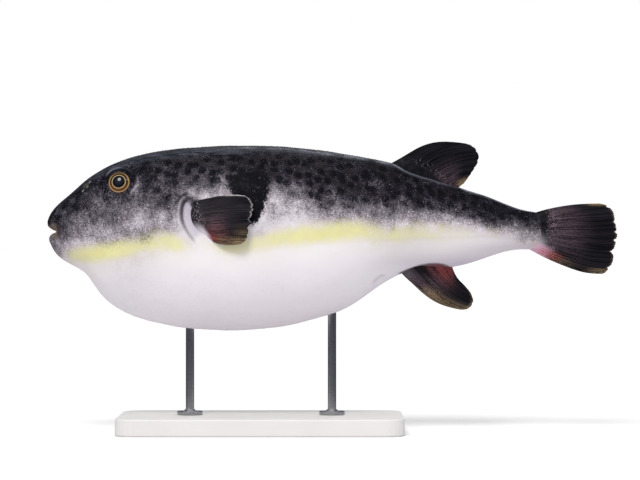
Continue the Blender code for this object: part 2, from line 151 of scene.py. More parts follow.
# %% Outlines of the flesh
FLESH_LENGTH = 354
STEM_END_START = 338
BACK = (
    (0, 6.6), (1.8, 12.1), (6.5, 18.1), (15.5, 25.9), (28, 36.3), (45, 46.6), (70, 54.6), (105, 59),
    (145, 60.1), (185, 57.8), (222, 52.1), (244, 47.4), (264, 39.7), (288, 31.2), (312, 23.5),
    (334, 15.1), (354, 13.5),
)
BELLY = (
    (0, 3), (0.8, -4.6), (3.8, -12.6), (11.3, -20.4), (23, -27), (29, -32), (36.6, -43),
    (47, -52.8), (66, -61.4), (100, -68.2), (127, -69.7), (155, -68.2), (193, -60.3), (218, -49.4),
    (236, -36.8), (250, -29.4), (285, -25.2), (307, -19), (327, -13.4), (354, -13.8),
)
HALF_BREADTH = (
    (0, 2.5), (2, 8.8), (11, 19.2), (25, 27.6), (50, 36), (80, 43.5), (112, 49), (145, 51),
    (178, 48.5), (210, 42), (243, 31.5), (270, 23), (303, 15), (334, 8.4), (346, 5.2), (354, 2.4),
)
WIDEST_LEVEL = (
    (0, 0), (20, 0), (50, -3), (100, -11), (145, -13), (200, -8), (250, 3), (300, 3), (354, 0),
)
BACK_FULLNESS = ((0, 2.2), (25, 2.6), (52, 3), (80, 2.7), (140, 2.3), (250, 2.1), (354, 2.2))
BELLY_FULLNESS = ((0, 2.2), (50, 2.2), (140, 2.15), (235, 1.9), (270, 1.7), (320, 1.9), (354, 2.2))

back_at, belly_at, half_breadth_at = outline(BACK), outline(BELLY), outline(HALF_BREADTH)
widest_level_at = outline(WIDEST_LEVEL)
back_fullness_at, belly_fullness_at = outline(BACK_FULLNESS), outline(BELLY_FULLNESS)
SNOUT_X = cad_low.x / MM
CAD_BELLY_LOWEST = -69.200
AXIS_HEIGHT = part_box("belly")[0].z / MM - CAD_BELLY_LOWEST


def placed(points):
    """Fish millimetres to metres above the floor."""
    return (np.asarray(points, float) + [SNOUT_X, 0, AXIS_HEIGHT]) * MM


print("mouth-to-tail axis", round(AXIS_HEIGHT, 1), "mm above the floor")


# %% Sections of the flesh
def section(distance):
    """The top, bottom, widest level and half breadth of the cross-section at a distance. Behind
    STEM_END_START it rounds off: its size is the square root of 1 less the cube of the way there."""
    closing = np.clip((distance - STEM_END_START) / (FLESH_LENGTH - STEM_END_START), 0, 1)
    size = np.sqrt(1 - closing**3)
    middle = widest_level_at(distance)
    top = middle + (back_at(distance) - middle) * size
    bottom = middle + (belly_at(distance) - middle) * size
    return top, bottom, middle, half_breadth_at(distance) * size


def reach_and_fullness(distance, level):
    """How much of the way from the widest level to the skin a height is, and the fullness there."""
    top, bottom, middle, _ = section(distance)
    above = level > middle
    reach = np.abs(level - middle) / np.where(above, top - middle, middle - bottom)
    return reach, np.where(above, back_fullness_at(distance), belly_fullness_at(distance))


def flank_at(distance, level):
    """How far the flank is from the middle plane at a distance and a height."""
    reach, power = reach_and_fullness(distance, level)
    return section(distance)[3] * (1 - np.clip(reach, 0, 1) ** power) ** (1 / power)


def inside_flesh(points):
    """Whether points are inside: the sum of their two shares, each to the fullness, is under 1."""
    reach, power = reach_and_fullness(points[..., 0], points[..., 2])
    return (np.abs(points[..., 1]) / section(points[..., 0])[3]) ** power + reach**power < 1


def upright_ring(distance, angle):
    """Points of the skin at an angle from straight up, seen from the widest level. There a
    superellipse is 1 / ((|sin| / breadth)^n + (|cos| / reach)^n)^(1/n) away."""
    top, bottom, middle, breadth = section(distance)
    upper = np.cos(angle) > 0
    reach = np.where(upper, top - middle, middle - bottom)
    power = np.where(upper, back_fullness_at(distance), belly_fullness_at(distance))
    across, up = np.abs(np.sin(angle)) / breadth, np.abs(np.cos(angle)) / reach
    radius = (across**power + up**power) ** (-1 / power)
    level = middle + radius * np.cos(angle)
    return np.stack(np.broadcast_arrays(distance, radius * np.sin(angle), level), axis=-1)


high, low, _, half_wide = section(145.0)
print("at 145 mm the body is", round(float(high - low)), "high and", round(float(2 * half_wide)), "wide")

# %% [markdown]
# ## One net over the whole fish
# A real skin has no seams, so all flesh wears a single closed mesh. Its net is a stack of rings: from
# the floor of the mouth, out over the lips, round the snout and back to the tail. Rings and columns
# crowd where the detail is, on the lips, the head and the flanks. A voxel remesh would give even faces
# anywhere, but a net keeps its rows, which later carry the lips' distance and an unwrapped map.

# %% Columns and mouth loops
COLUMNS = 200
CROWDING = 0.1  # how much the columns crowd towards the flanks
MOUTH_LEVEL, MOUTH_DEPTH = -0.3, 12.5
LIP_HALF_WIDTH, LIP_HALF_HEIGHT = 12.8, 5.2
SLOT_HALF_WIDTH, SLOT_HALF_HEIGHT = 11.4, 2.2
MOUTH_POINT = 1.15  # the power of the cosine that draws a loop to a point at its corners
LIP_THICKNESS = 4
LEAST_ROLL = 0.6  # how far the lips roll inwards at least
THROAT_WIDTH = 0.9  # as a share of the slot's width
SNOUT_LENGTH = 10
SNOUT_CROWDING = 1.2  # how much the snout's rings crowd towards the lips

turn = np.arange(COLUMNS) / COLUMNS - 0.5
ANGLES = 2 * math.pi * turn + CROWDING * np.sin(4 * math.pi * turn)


def mouth_loop(half_width, half_height):
    """A loop round the mouth, pointed at its corners: its height follows the cosine to a power."""
    up = np.cos(ANGLES)
    height = half_height * np.sign(up) * np.abs(up) ** MOUTH_POINT
    return half_width * np.sin(ANGLES), MOUTH_LEVEL + height


def skin_between(outer, inner, point_at, halvings=40):
    """Where the skin is between an outer and an inner number, found by halving the stretch. A
    function gives the point that each number stands for."""
    for _ in range(halvings):
        middle = (outer + inner) / 2
        inside = inside_flesh(point_at(middle))
        outer, inner = np.where(inside, outer, middle), np.where(inside, middle, inner)
    return inner


def snout_front(out, level):
    """How far behind the snout the skin is, at a place seen from the front."""
    start, end = np.zeros_like(out), np.full_like(out, 2.0 * SNOUT_LENGTH)
    return skin_between(start, end, lambda distance: np.stack([distance, out, level], axis=-1))


print("loops of", len(ANGLES), "points")

# %% Rings of the mouth, lips and snout
FLOOR_SHARES = np.array([0.25, 0.55, 0.85, 1])[:, None]
WALL_SHARES = np.array([0.3, 0.6, 0.85])[:, None]
ROLL_RINGS, SNOUT_RINGS = 10, 36

ridge = np.stack(mouth_loop(LIP_HALF_WIDTH, LIP_HALF_HEIGHT))
slot = np.stack(mouth_loop(SLOT_HALF_WIDTH, SLOT_HALF_HEIGHT))
ridge_front = snout_front(*ridge)
slot_front = np.maximum(ridge_front + LEAST_ROLL, ridge_front.min() + LIP_THICKNESS)
throat = np.stack([THROAT_WIDTH * slot[0], slot[1]])


def stacked(distance, out, level):
    """Points from three arrays or numbers that widen to one shape."""
    return np.stack(np.broadcast_arrays(distance, out, level), axis=-1)


floor_rings = stacked(
    MOUTH_DEPTH, FLOOR_SHARES * throat[0], MOUTH_LEVEL + FLOOR_SHARES * (throat[1] - MOUTH_LEVEL)
)
wall_rings = stacked(
    MOUTH_DEPTH + WALL_SHARES * (slot_front - MOUTH_DEPTH),
    throat[0] + WALL_SHARES * (slot[0] - throat[0]),
    throat[1] + WALL_SHARES * (slot[1] - throat[1]),
)
roll = np.linspace(math.pi / 2, 0, ROLL_RINGS)[:, None]
roll_rings = stacked(
    ridge_front + (1 - np.cos(roll)) * (slot_front - ridge_front),
    ridge[0] + np.sin(roll) * (slot[0] - ridge[0]),
    ridge[1] + np.sin(roll) * (slot[1] - ridge[1]),
)
upright = upright_ring(float(SNOUT_LENGTH), ANGLES)
snout_shares = np.linspace(0, 1, SNOUT_RINGS + 1)[1:, None] ** SNOUT_CROWDING
snout_out = ridge[0] + snout_shares * (upright[:, 1] - ridge[0])
snout_level = ridge[1] + snout_shares * (upright[:, 2] - ridge[1])
snout_rings = stacked(snout_front(snout_out, snout_level), snout_out, snout_level)
RIDGE_ROW = len(floor_rings) + len(wall_rings) + len(roll_rings) - 1
print("snout in", RIDGE_ROW + 1 + len(snout_rings), "rings")

# %% Rings of the body
HEAD_RINGS, BODY_RINGS = 186, 184
PECTORAL_BACK = 118  # behind this distance the rings stand further apart

distances = np.concatenate([
    np.linspace(SNOUT_LENGTH, PECTORAL_BACK, HEAD_RINGS)[1:],
    np.linspace(PECTORAL_BACK, FLESH_LENGTH - 0.4, BODY_RINGS)[1:],
])
body_rings = upright_ring(distances[:, None], ANGLES[None, :])
net = np.concatenate([floor_rings, wall_rings, roll_rings, snout_rings, body_rings])
FIRST_BODY_ROW = len(net) - len(body_rings)
ROWS = len(net)
print("net of", ROWS, "rings by", COLUMNS, "columns")

# %% [markdown]
# ## Sockets and lids
# A puffer's eye sits in a shallow socket, ringed by a tight lid, with a fold of skin above it. A square
# net is too coarse for a round rim, so a rectangle is left out of it round each eye and a polar patch
# fills the place: rings that start as circles at the lid and end on the rectangle's own points. Each
# patch point is found along the way that the eye looks, where that line leaves the flesh.

# %% Eye frames and orbits
EYE_DISTANCE, EYE_OUT, EYE_LEVEL = 52.3, 30.6, 33.7
EYE_OPENING_RADIUS, EYEBALL_RADIUS = 7.6, 10
EYE_SUNK = math.sqrt(EYEBALL_RADIUS**2 - EYE_OPENING_RADIUS**2)
EYE_AXIS = (-0.1, 0.95, 0.28)
ORBIT_FLAT_RADIUS, ORBIT_BLEND_RADIUS = 8.5, 16


def eye_frame(side):
    """The middle of the lids' opening, and backward, upward and outward directions there."""
    middle = np.array([EYE_DISTANCE, side * EYE_OUT, EYE_LEVEL])
    axis = unit(np.array([EYE_AXIS[0], side * EYE_AXIS[1], EYE_AXIS[2]]))
    backward = unit(np.array([1.0, 0, 0]) - axis[0] * axis)
    upward = np.cross(backward, axis) * side
    return middle, backward, upward, axis


def with_orbits(points):
    """Draws the skin round each eye to the plane of its lids: a brow above, a flat cheek below."""
    for side in SIDES.values():
        middle, _, _, axis = eye_frame(side)
        from_eye = points - middle
        proud = from_eye @ axis
        radius = np.linalg.norm(from_eye - proud[..., None] * axis, axis=-1)
        blend = ended(radius, ORBIT_FLAT_RADIUS, ORBIT_BLEND_RADIUS) * (points[..., 1] * side > 0)
        points = points - (blend * proud)[..., None] * axis
    return points


print("the eye's middle is", round(EYE_SUNK, 1), "mm behind the plane of its lids")

# %% The lids' profile
CUP_RADIUS = EYEBALL_RADIUS + 0.35
CUP_STEPS, CUP_RIM_TURN = 6, math.radians(58)
LID_EDGE = ((8.16, -0.3), (7.86, -0.16), (7.7, 0.0), (7.78, 0.12), (8.05, 0.17))
LID_START = 8.35
OVER_EYE = (0.35, 0.8)  # the height shares between which the fold over the eye comes in
PATCH_RINGS = 19
PATCH_HALF_LENGTH = 17.5
PATCH_TURN, PATCH_HALF_TURN = 0.675, 0.4  # where the patch is round the body, and how far it reaches
DEEPEST_IN, FURTHEST_OUT = -14.0, 25.0  # the stretch across the skin in which it is looked for


def lid_height(radius, height_share):
    """How far the skin stands out round the eye: a rim all round, and above the eye a fold, which
    is a groove with a ridge over it. height_share is 1 straight above the eye and -1 below."""
    above = risen(height_share, *OVER_EYE)
    rim = (0.16 + 0.3 * above) * hump(radius - 8.2, 0.75)
    fold = 0.95 * hump(radius - 11.4, 1.2) - 1.15 * hump(radius - 9.9, 0.8)
    return rim + above * fold


cup_turn = np.linspace(math.pi, CUP_RIM_TURN, CUP_STEPS + 1)[1:]
cup = np.stack([CUP_RADIUS * np.sin(cup_turn), CUP_RADIUS * np.cos(cup_turn) - EYE_SUNK], axis=-1)
LID_PROFILE = np.concatenate([cup, np.array(LID_EDGE)])
print("the socket and lid turn", len(LID_PROFILE), "points")


# %% Patch a socket into the net
def leaving_flesh(start, direction):
    """Where a line leaves the flesh."""
    def point_at(along):
        return start + along[..., None] * direction

    deep, clear = (np.full(start.shape[:-1], along) for along in (DEEPEST_IN, FURTHEST_OUT))
    return point_at(skin_between(clear, deep, point_at))


def patch_frame(side):
    """The rows and columns of the rectangle round an eye, as first and last of each."""
    rows = np.flatnonzero(np.abs(distances - EYE_DISTANCE) < PATCH_HALF_LENGTH) + FIRST_BODY_ROW
    columns = np.flatnonzero(np.abs(side * ANGLES - PATCH_TURN) < PATCH_HALF_TURN)
    return rows[0], rows[-1], columns[0], columns[-1]


def border_of(side):
    """The rectangle's border, as one loop of places in the net."""
    top_row, last_row, first, last = patch_frame(side)
    rows, columns = np.arange(top_row, last_row + 1), np.arange(first, last + 1)
    return np.concatenate([
        top_row * COLUMNS + columns, rows[1:] * COLUMNS + last,
        last_row * COLUMNS + columns[-2::-1], rows[-2:0:-1] * COLUMNS + first,
    ])


def socket_rings(side, border_points):
    """Rings from the bottom of the socket, over the lid and out to the border: circles first, then
    straight blends between the lid's circle and the border, each point set on the flesh."""
    middle, backward, upward, axis = eye_frame(side)
    from_eye = border_points - middle
    flat = np.stack([from_eye @ backward, from_eye @ upward], axis=-1)
    round_eye = unit(flat)
    across = round_eye @ np.stack([backward, upward])
    lid = middle + LID_PROFILE[:, :1, None] * across + LID_PROFILE[:, 1:, None] * axis
    share = np.linspace(0, 1, PATCH_RINGS + 1)[:-1, None, None] ** 1.5
    spread = (1 - share) * LID_START * round_eye + share * flat
    skin = leaving_flesh(middle + spread @ np.stack([backward, upward]), axis)
    radius = np.linalg.norm(spread, axis=-1)
    skin = with_orbits(skin) + lid_height(radius, spread[..., 1] / radius)[..., None] * axis
    return np.concatenate([lid, skin])


net = with_orbits(net)
flat_net = net.reshape(-1, 3)
borders = {side: border_of(side) for side in SIDES.values()}
sockets = {side: socket_rings(side, flat_net[border]) for side, border in borders.items()}
print("a socket has", sockets[1].shape[0], "rings of", sockets[1].shape[1])


# %% Faces of the skin
def walls_between(rings):
    """Four-sided faces between neighbouring rings of places, each ring closed on itself."""
    here, there = rings[:-1], rings[1:]
    faces = np.stack([here, there, np.roll(there, -1, 1), np.roll(here, -1, 1)], axis=-1)
    return faces.reshape(-1, 4)


def fan(pole, ring):
    """Three-sided faces from a pole to a ring of places."""
    return np.stack([np.full(len(ring), pole), ring, np.roll(ring, -1)], axis=-1)


places = np.arange(ROWS * COLUMNS).reshape(ROWS, COLUMNS)
quads = walls_between(places)
row_of, column_of = np.divmod(quads[:, 0], COLUMNS)
kept = np.ones(len(quads), bool)
for side in SIDES.values():
    top_row, last_row, first, last = patch_frame(side)
    in_patch = (row_of >= top_row) & (row_of < last_row) & (column_of >= first) & (column_of < last)
    kept &= ~in_patch
quads, fans = [quads[kept]], []

end_poles = np.array([
    [MOUTH_DEPTH, 0, MOUTH_LEVEL], [FLESH_LENGTH, 0, float(widest_level_at(FLESH_LENGTH))],
])
points = [flat_net, end_poles]
count = len(flat_net)
fans += [fan(count, places[0]), fan(count + 1, places[-1])[:, ::-1]]
count += 2
socket_places = {}
for side, rings in sockets.items():
    middle, _, _, axis = eye_frame(side)
    new = count + np.arange(rings.shape[0] * rings.shape[1]).reshape(rings.shape[:2])
    socket_places[side] = new
    pole = middle - (CUP_RADIUS + EYE_SUNK) * axis
    points += [rings.reshape(-1, 3), pole[None]]
    count += new.size + 1
    quads.append(walls_between(np.concatenate([new, borders[side][None]]))[:, ::-1])
    fans.append(fan(count - 1, new[0])[:, ::-1])
skin_points = np.concatenate(points)
skin_quads, skin_fans = np.concatenate(quads), np.concatenate(fans)
print("skin:", 2 * len(skin_quads) + len(skin_fans), "triangles")


# %% [markdown]
# ## Relief of the skin
# Folds and openings are what make a cast look like flesh: the lips' groove, the nostril, the slit of
# the gill with its raised rim, the swelling round the fins, the keel along the lower flank. They could
# be sculpted by hand; here each is a bell-shaped ridge or groove along a short curve in the side view,
# and the points move in or out along their normals. Finer grain is left to the materials.

# %% Make a mesh
def made_mesh(name, points, faces):
    """A smooth shaded mesh from fish millimetres."""
    mesh = bpy.data.meshes.new(name)
    lists = [face for each in faces for face in each.tolist()]
    mesh.from_pydata(placed(points).tolist(), [], lists)
    mesh.shade_smooth()
    return mesh


def outward_normals(mesh):
    """Each point's direction away from the flesh."""
    normals = np.zeros(3 * len(mesh.vertices), np.float32)
    mesh.vertex_normals.foreach_get("vector", normals)
    return normals.reshape(-1, 3).astype(float)


def move_points(mesh, points):
    """Puts the mesh's points where fish millimetres say."""
    mesh.vertices.foreach_set("co", placed(points).astype(np.float32).ravel())
    mesh.update()


corners = np.concatenate([skin_quads.ravel(), skin_fans.ravel()])
used = np.unique(corners)
renumbered = np.zeros(len(skin_points), int)
renumbered[used] = np.arange(len(used))
skin_points = skin_points[used]
skin_quads, skin_fans = renumbered[skin_quads], renumbered[skin_fans]
skin_mesh = made_mesh("puffer_skin", skin_points, [skin_quads, skin_fans])
outward = outward_normals(skin_mesh)
print("the back's normal points up by", round(float(outward[skin_points[:, 2].argmax(), 2]), 2))


# %% Places on the skin
def beside(points, curve, reach=14.0, steps=90):
    """In side view, how far points are from a curve, positive to the left of its run, and the
    share of its length there. Points further than the reach only get the reach."""
    line = curve(np.linspace(0, 1, steps))
    view = points[:, [0, 2]]
    near = ((view > line.min(0) - reach) & (view < line.max(0) + reach)).all(1)
    offset = view[near, None] - line
    square = (offset**2).sum(-1)
    closest = square.argmin(1)
    run = np.gradient(line, axis=0)[closest]
    offset = offset[np.arange(len(closest)), closest]
    left = np.where(run[:, 0] * offset[:, 1] - run[:, 1] * offset[:, 0] < 0, -1, 1)
    gap, share = np.full(len(points), reach), np.zeros(len(points))
    gap[near] = left * np.minimum(np.sqrt(square.min(1)), reach)
    share[near] = closest / (steps - 1)
    return gap, share


def faded_ends(share, end=0.12):
    """1 along a curve, running out to 0 over its ends."""
    return eased(share / end) * eased((1 - share) / end)


def rolling(points, wavelength, seed):
    """A slow, irregular swell between about -1 and 1: the mean of cosines along random ways."""
    random = np.random.default_rng(seed)
    ways = random.normal(size=(9, 3))
    ways *= 2 * math.pi / (np.linalg.norm(ways, axis=1, keepdims=True) * wavelength)
    phases = random.uniform(0, 2 * math.pi, 9)
    return np.cos(points @ ways.T + phases).mean(axis=1) * 1.8


print("midway along a curve", float(faded_ends(0.5)), "is left of its height")

# %% Distance from the lips
row_gap = np.linalg.norm(np.diff(flat_net.reshape(ROWS, COLUMNS, 3)[RIDGE_ROW:], axis=0), axis=-1)
from_ridge = np.zeros((ROWS, COLUMNS))
from_ridge[RIDGE_ROW + 1:] = np.cumsum(row_gap, axis=0)
from_ridge[:RIDGE_ROW] = -1
FAR = 60.0
lips = np.full(len(renumbered), FAR)
lips[:ROWS * COLUMNS] = np.minimum(from_ridge.ravel(), FAR)
lips[len(flat_net)] = -1
lips = lips[used]
around = np.zeros(len(renumbered))
around[:ROWS * COLUMNS] = np.tile(ANGLES, ROWS)
around = around[used]
print("points on or near the lips:", int((lips < 5).sum()))

# %% Curves and openings of the skin
GILL = route((
    (105.8, 23.4), (98, 20.9), (96, 15.1), (96, 8.9), (99.5, -0.2), (103, -5.3), (106.5, -8.9),
))
PECTORAL_ROOT = ((104.5, 20.5), (102.8, 13), (104.3, 5), (109.5, -0.5), (114.5, -5.5))
KEEL = route((
    (40, -20), (72, -17), (107, -14.5), (140, -12.5), (178, -8.5), (212, -6), (250, -4.5),
    (283, -3.5), (318, -2.5), (338, -3),
))
SHOULDER = route(((241.5, 48.1), (253.4, 41.2), (268.2, 36.3), (283, 31.9), (294.3, 29.4)))
VENT = route(((228, -38.5), (232.4, -32.9), (235, -31.5), (239, -32)))
TAN_LIP = route(((2.6, 6), (5.2, 2.6), (6.2, -1), (6.4, -7)))
LIP_GROOVE = route(((8.2, 4.5), (8.9, 0.5), (8.4, -4.5)))
ANAL_ROOT = route((
    (246, -29.5), (252, -26.8), (258.4, -24.4), (265.4, -22.8), (273.9, -22.4), (281, -24), (286, -27),
))
EYE_FOLD = route(((62, 41), (65, 37.5), (62.7, 28.5), (58, 23)))
NOSTRIL = (28, 32)
NOSTRIL_PITS = ((29.8, 35.2), (25.4, 29.4))
# Places of small pale dots by the nostril, which are painted glints of light
NOSTRIL_PAINTED_GLINTS = ((29.4, 31.2), (26.3, 28.2), (30.9, 34.4))


def away_from(places):
    """How far each point is from the nearest of some places, which both flanks have."""
    gaps = []
    for at, height in places:
        for side in SIDES.values():
            spot = (at, side * float(flank_at(at, height)), height)
            gaps.append(np.linalg.norm(skin_points - spot, axis=1))
    return np.min(gaps, axis=0)


gill, gill_share = beside(skin_points, GILL)
root, root_share = beside(skin_points, route(PECTORAL_ROOT))
keel, keel_share = beside(skin_points, KEEL)
vent, vent_share = beside(skin_points, VENT)
shoulder, shoulder_share = beside(skin_points, SHOULDER)
anal_gap, anal_share = beside(skin_points, ANAL_ROOT)
tan_gap, tan_share = beside(skin_points, TAN_LIP)
groove_gap, groove_share = beside(skin_points, LIP_GROOVE)
eye_fold, fold_share = beside(skin_points, EYE_FOLD)
on_side = np.abs(skin_points[:, 1]) > 12
print("gill slit", round(float(np.linalg.norm(GILL(1.0) - GILL(0.0))), 1), "mm from end to end")

# %% Raise and sink the skin
# For each curve: how soon it fades at its ends, where it may be, and its ridges, each as
# (height, distance beside the curve, width). A height that is less than 0 is a groove
FOLDS = (
    (gill, gill_share, 0.12, on_side, ((0.9, -2.0, 1.7), (-2.1, 0.3, 0.75), (-0.6, 3.4, 2.6))),
    (root, root_share, 0.08, on_side, ((0.7, 1.0, 1.8),)),
    (shoulder, shoulder_share, 0.12, 1, ((0.45, -0.3, 0.9), (-0.5, 2.4, 1.4))),
    (vent, vent_share, 0.3, 1, ((-1.2, 0, 1.1),)),
    (eye_fold, fold_share, 0.3, on_side, ((0.35, 0, 0.9),)),
)
corner = np.abs(np.sin(around)) ** 4
relief = 0.2 * hump(lips - 1.7, 1.4) + 0.05 * np.sin(38 * around) * hump(lips - 1.6, 2.0)
relief += corner * (0.2 * hump(lips - 5.6, 1.6) - 0.5 * hump(lips - 3.9, 0.9))
for gap, share, fade, where, ridges in FOLDS:
    height = sum(rise * hump(gap - beside_it, width) for rise, beside_it, width in ridges)
    relief += faded_ends(share, fade) * where * height
folded = risen(keel_share, 0.55, 0.95)
fold = (0.04 + 0.14 * folded) * hump(keel, 1.3) - (0.04 + 0.06 * folded) * hump(keel + 2.6, 1.6)
relief += faded_ends(keel_share) * fold
from_pit = away_from(NOSTRIL_PITS)
relief += hump(away_from([NOSTRIL]), 2.0) + 0.35 * hump(from_pit - 1.5, 0.6) - hump(from_pit, 0.95)
out_of_eye = np.full(len(skin_points), FAR)
for side in SIDES.values():
    middle, _, _, axis = eye_frame(side)
    from_eye = skin_points - middle
    proud = from_eye @ axis
    same_side = (skin_points[:, 1] * side > 0) & (proud > -20)
    radius = np.linalg.norm(from_eye - proud[:, None] * axis, axis=1)
    out_of_eye = np.where(same_side, np.minimum(out_of_eye, radius), out_of_eye)
calm = risen(out_of_eye, 9, 15) * risen(lips, 4, 12)
relief += calm * (0.22 * rolling(skin_points, 34, 1) + 0.10 * rolling(skin_points, 13, 2))
drawn_long = skin_points * [0.22, 1, 1]
relief += 0.10 * calm * risen(skin_points[:, 2], 20, 45) * rolling(drawn_long, 5.5, 3)
shaped_points = skin_points + relief[:, None] * outward
drawn_back = 2.1 * corner**1.5 * hump(np.maximum(lips, 0), 3.2)
shaped_points[:, 0] += drawn_back * ended(skin_points[:, 0], 6, 11)
move_points(skin_mesh, shaped_points)
print("relief from", round(float(relief.min()), 2), "to", round(float(relief.max()), 2), "mm")

# %% [markdown]
# ## Where the markings lie
# The puffer is charcoal above and white below, with a lemon band between, a black blotch behind the
# pectoral fin and round spots on its back. Painters block such a pattern in first and break its edges up
# later. So each mark is first a soft number on every point, worked out from a few levels and lengths,
# and the material adds the spots, specks and ragged edges. A painted picture would be less work, but
# these numbers stay sharp close up and are the same on both sides, as a real fish's are. A few marks are
# painted light and shade: shade in the gill's slit, the nostril's pits, the groove over the eye and low
# on the belly, and highlights on the brow, the shoulder, the crown and by the nostril.

# %% Light and dark
# For each distance: the level of middle grey, and how softly it turns dark above and pale below
GREY = (
    (0, -10, 12, 10), (15.5, -8.5, 13.5, 8.5), (29.6, 2, 9, 11.5), (43.6, 2.8, 16, 13),
    (64.8, 9, 17, 16.5), (82.4, 11, 11.5, 11.5), (103.5, 26, 8, 12), (128, 28, 6, 10),
    (163, 25.4, 4.8, 13.5), (177, 20.5, 7.8, 9.2), (191.5, 13.3, 7.8, 7), (212.6, 11, 8.5, 7),
    (233.7, 12.2, 7, 9.6), (255, 13.4, 3.6, 9), (283, 10.3, 3.4, 5.5), (304, 4.5, 3.2, 3.4),
    (332, 0.5, 3.2, 6), (343, -1.9, 4.5, 8), (354, -6, 5, 8),
)
# Patches that are darker or lighter than the grey round them:
# (distance, level, half length, half height, how much darker)
PATCHES = (
    (4, -5, 3, 5, -0.13), (5, 12, 6, 8, 0.12), (21, 6, 5, 5, -0.1), (32, 27, 7, 5, -0.12),
    (39, 25, 4, 5, -0.12), (44, -9, 10, 6, 0.09), (45, 16, 14, 6, -0.12), (50, 8, 9, 10, 0.1),
    (64, 26, 4, 12, -0.09), (65, 42, 10, 5, 0.16), (66, -4, 11, 7, 0.13), (70, 8, 7, 7, -0.14),
    (72, -6, 5, 4, 0.12), (81, 10, 4, 7, -0.12), (83, 34, 9, 5, -0.15), (84, 21, 7, 6, 0.12),
    (89, 22, 3, 3, -0.1), (90, 5, 7, 9, 0.12), (99.5, 22, 4, 4, 0.35), (106, 20, 4, 1.8, 0.4),
    (116, 33, 4, 3, 0.16), (124, 40, 3, 5, -0.15), (149, 4, 4, 5, 0.12), (150, -2, 6, 3, 0.1),
    (157.5, 17, 4, 11, 0.16), (163, 26, 5, 6, -0.1), (176, 31, 7, 4, -0.14), (199, 25, 5, 5, -0.14),
    (241, 5, 3, 7, 0.14), (241.5, 13.5, 5, 6, 0.16), (255, 4, 3, 6, 0.12), (267, 22, 5, 4, -0.09),
    (270, 11, 6, 4, 0.1), (325, 5, 8, 3, -0.1), (336, -6, 7, 5, 0.12),
)
distance, level = skin_points[:, 0], skin_points[:, 2]
grey = np.array(GREY)
grey_line, above_soft, below_soft = (outline(grey[:, [0, column]])(distance) for column in (1, 2, 3))
softness = np.maximum(np.where(level > grey_line, above_soft, below_soft), 2)
tone = 1 / (1 + np.exp((grey_line - level) / softness))
for at, height, half_length, half_height, darker in PATCHES:
    away = ((distance - at) / half_length) ** 2 + ((level - height) / half_height) ** 2
    tone += darker * np.exp(-(away**1.5))
print("tone from", round(float(tone.min()), 2), "to", round(float(tone.max()), 2))

# %% The lemon band
# For each distance: the level of the band and how strong it is
LEMON = (
    (0, -17, 0), (8.4, -17, 0.1), (22, -17.2, 0.75), (36.6, -16.3, 1), (50.7, -13.8, 0.95),
    (64.8, -11.2, 0.8), (79, -8.2, 0.75), (93, -9.4, 0.78), (104, -10, 0.35), (117, -9, 0.4),
    (126, -11, 0.68), (135, -11, 0.7), (149, -9, 0.7), (163, -6, 0.85), (191, -3.2, 0.95),
    (212, -0.8, 0.95), (221, -0.8, 0.85), (234, -4, 0.62), (248, -2.8, 0.7), (262, -2.4, 0.62),
    (283, -2.2, 0.42), (304, -2.6, 0.3), (330, -2, 0.12), (344, -2, 0),
)
LEMON_ABOVE, LEMON_BELOW = 8.2, 6.8  # how far it reaches either way: further above, behind the blotch
table = np.array(LEMON)
lemon_level, lemon_strength = (outline(table[:, [0, column]])(distance) for column in (1, 2))
reach_above = LEMON_ABOVE + 1.2 * risen(distance, 150, 180)
lemon_reach = np.where(level > lemon_level, reach_above, LEMON_BELOW)
lemon = lemon_strength * hump(level - lemon_level, lemon_reach)
cream = hump(level - lemon_level + 10, 9) * risen(distance, 0, 20)
print("lemon band", round(float((lemon > 0.5).mean() * 100)), "percent of the points")


# %% The blotch
def inside_border(points, centre, border):
    """In side view, how far inside a rounded border points are: its radius in that direction less
    their own. The radius runs evenly between the border's points."""
    spread = np.array(border) - centre
    angles = np.arctan2(spread[:, 1], spread[:, 0])
    order = np.argsort(angles)
    offset = points[:, [0, 2]] - centre
    angle = np.arctan2(offset[:, 1], offset[:, 0])
    radius = np.interp(
        angle, angles[order], np.linalg.norm(spread, axis=1)[order], period=2 * math.pi
    )
    return radius - np.linalg.norm(offset, axis=1)


BLOTCH_CENTRE = (143, 27)
BLOTCH = (
    (155.5, 38), (155.5, 30), (154, 20), (151, 11.5), (146, 4), (139.5, 6), (134.5, 14), (131.5, 25),
    (129, 31), (129.5, 36), (132.5, 40.5), (139, 41.5), (147, 42.5), (153, 41.5),
)
MARKS = {"tone": tone, "lemon": lemon, "cream": cream}
MARKS["blotch"] = np.where(on_side, inside_border(skin_points, BLOTCH_CENTRE, BLOTCH), -20)
tone -= 0.12 * hump(MARKS["blotch"] + 3.4, 2.4) * ended(level, 30, 39) * on_side
print("points inside the blotch:", int((MARKS["blotch"] > 0).sum()))

# %% Marks of the gill and the pectoral's foot
# Painted shade: the gill's slit is painted dark, the shade inside the opening
slit = hump(gill - 0.3, 1.7 - gill_share) * (1 - 0.5 * risen(gill_share, 0.45, 0.85))
MARKS["slit"] = slit * faded_ends(gill_share, 0.08) * on_side
behind_gill = risen(gill, 0.9, 1.9) * ended(gill - 4 * gill_share, 7, 11)
along_gill = (1 - 0.5 * gill_share) * risen(gill_share, 0.06, 0.2) * ended(gill_share, 0.86, 0.98)
MARKS["crescent"] = behind_gill * along_gill * on_side
MARKS["gill_rim"] = hump(gill + 1.5, 0.7) * faded_ends(gill_share, 0.08) * on_side
foot_start = root + 0.3 + 1.6 * ended(root_share, 0, 0.45)
fin_foot = risen(foot_start, 0, 0.7) * ended(root, 7, 10) * risen(root_share, 0, 0.04) * on_side
tone += fin_foot * (0.8 * ended(root_share, 0.35, 0.9) - tone)
print("points in the gill's slit:", int((MARKS["slit"] > 0.5).sum()))

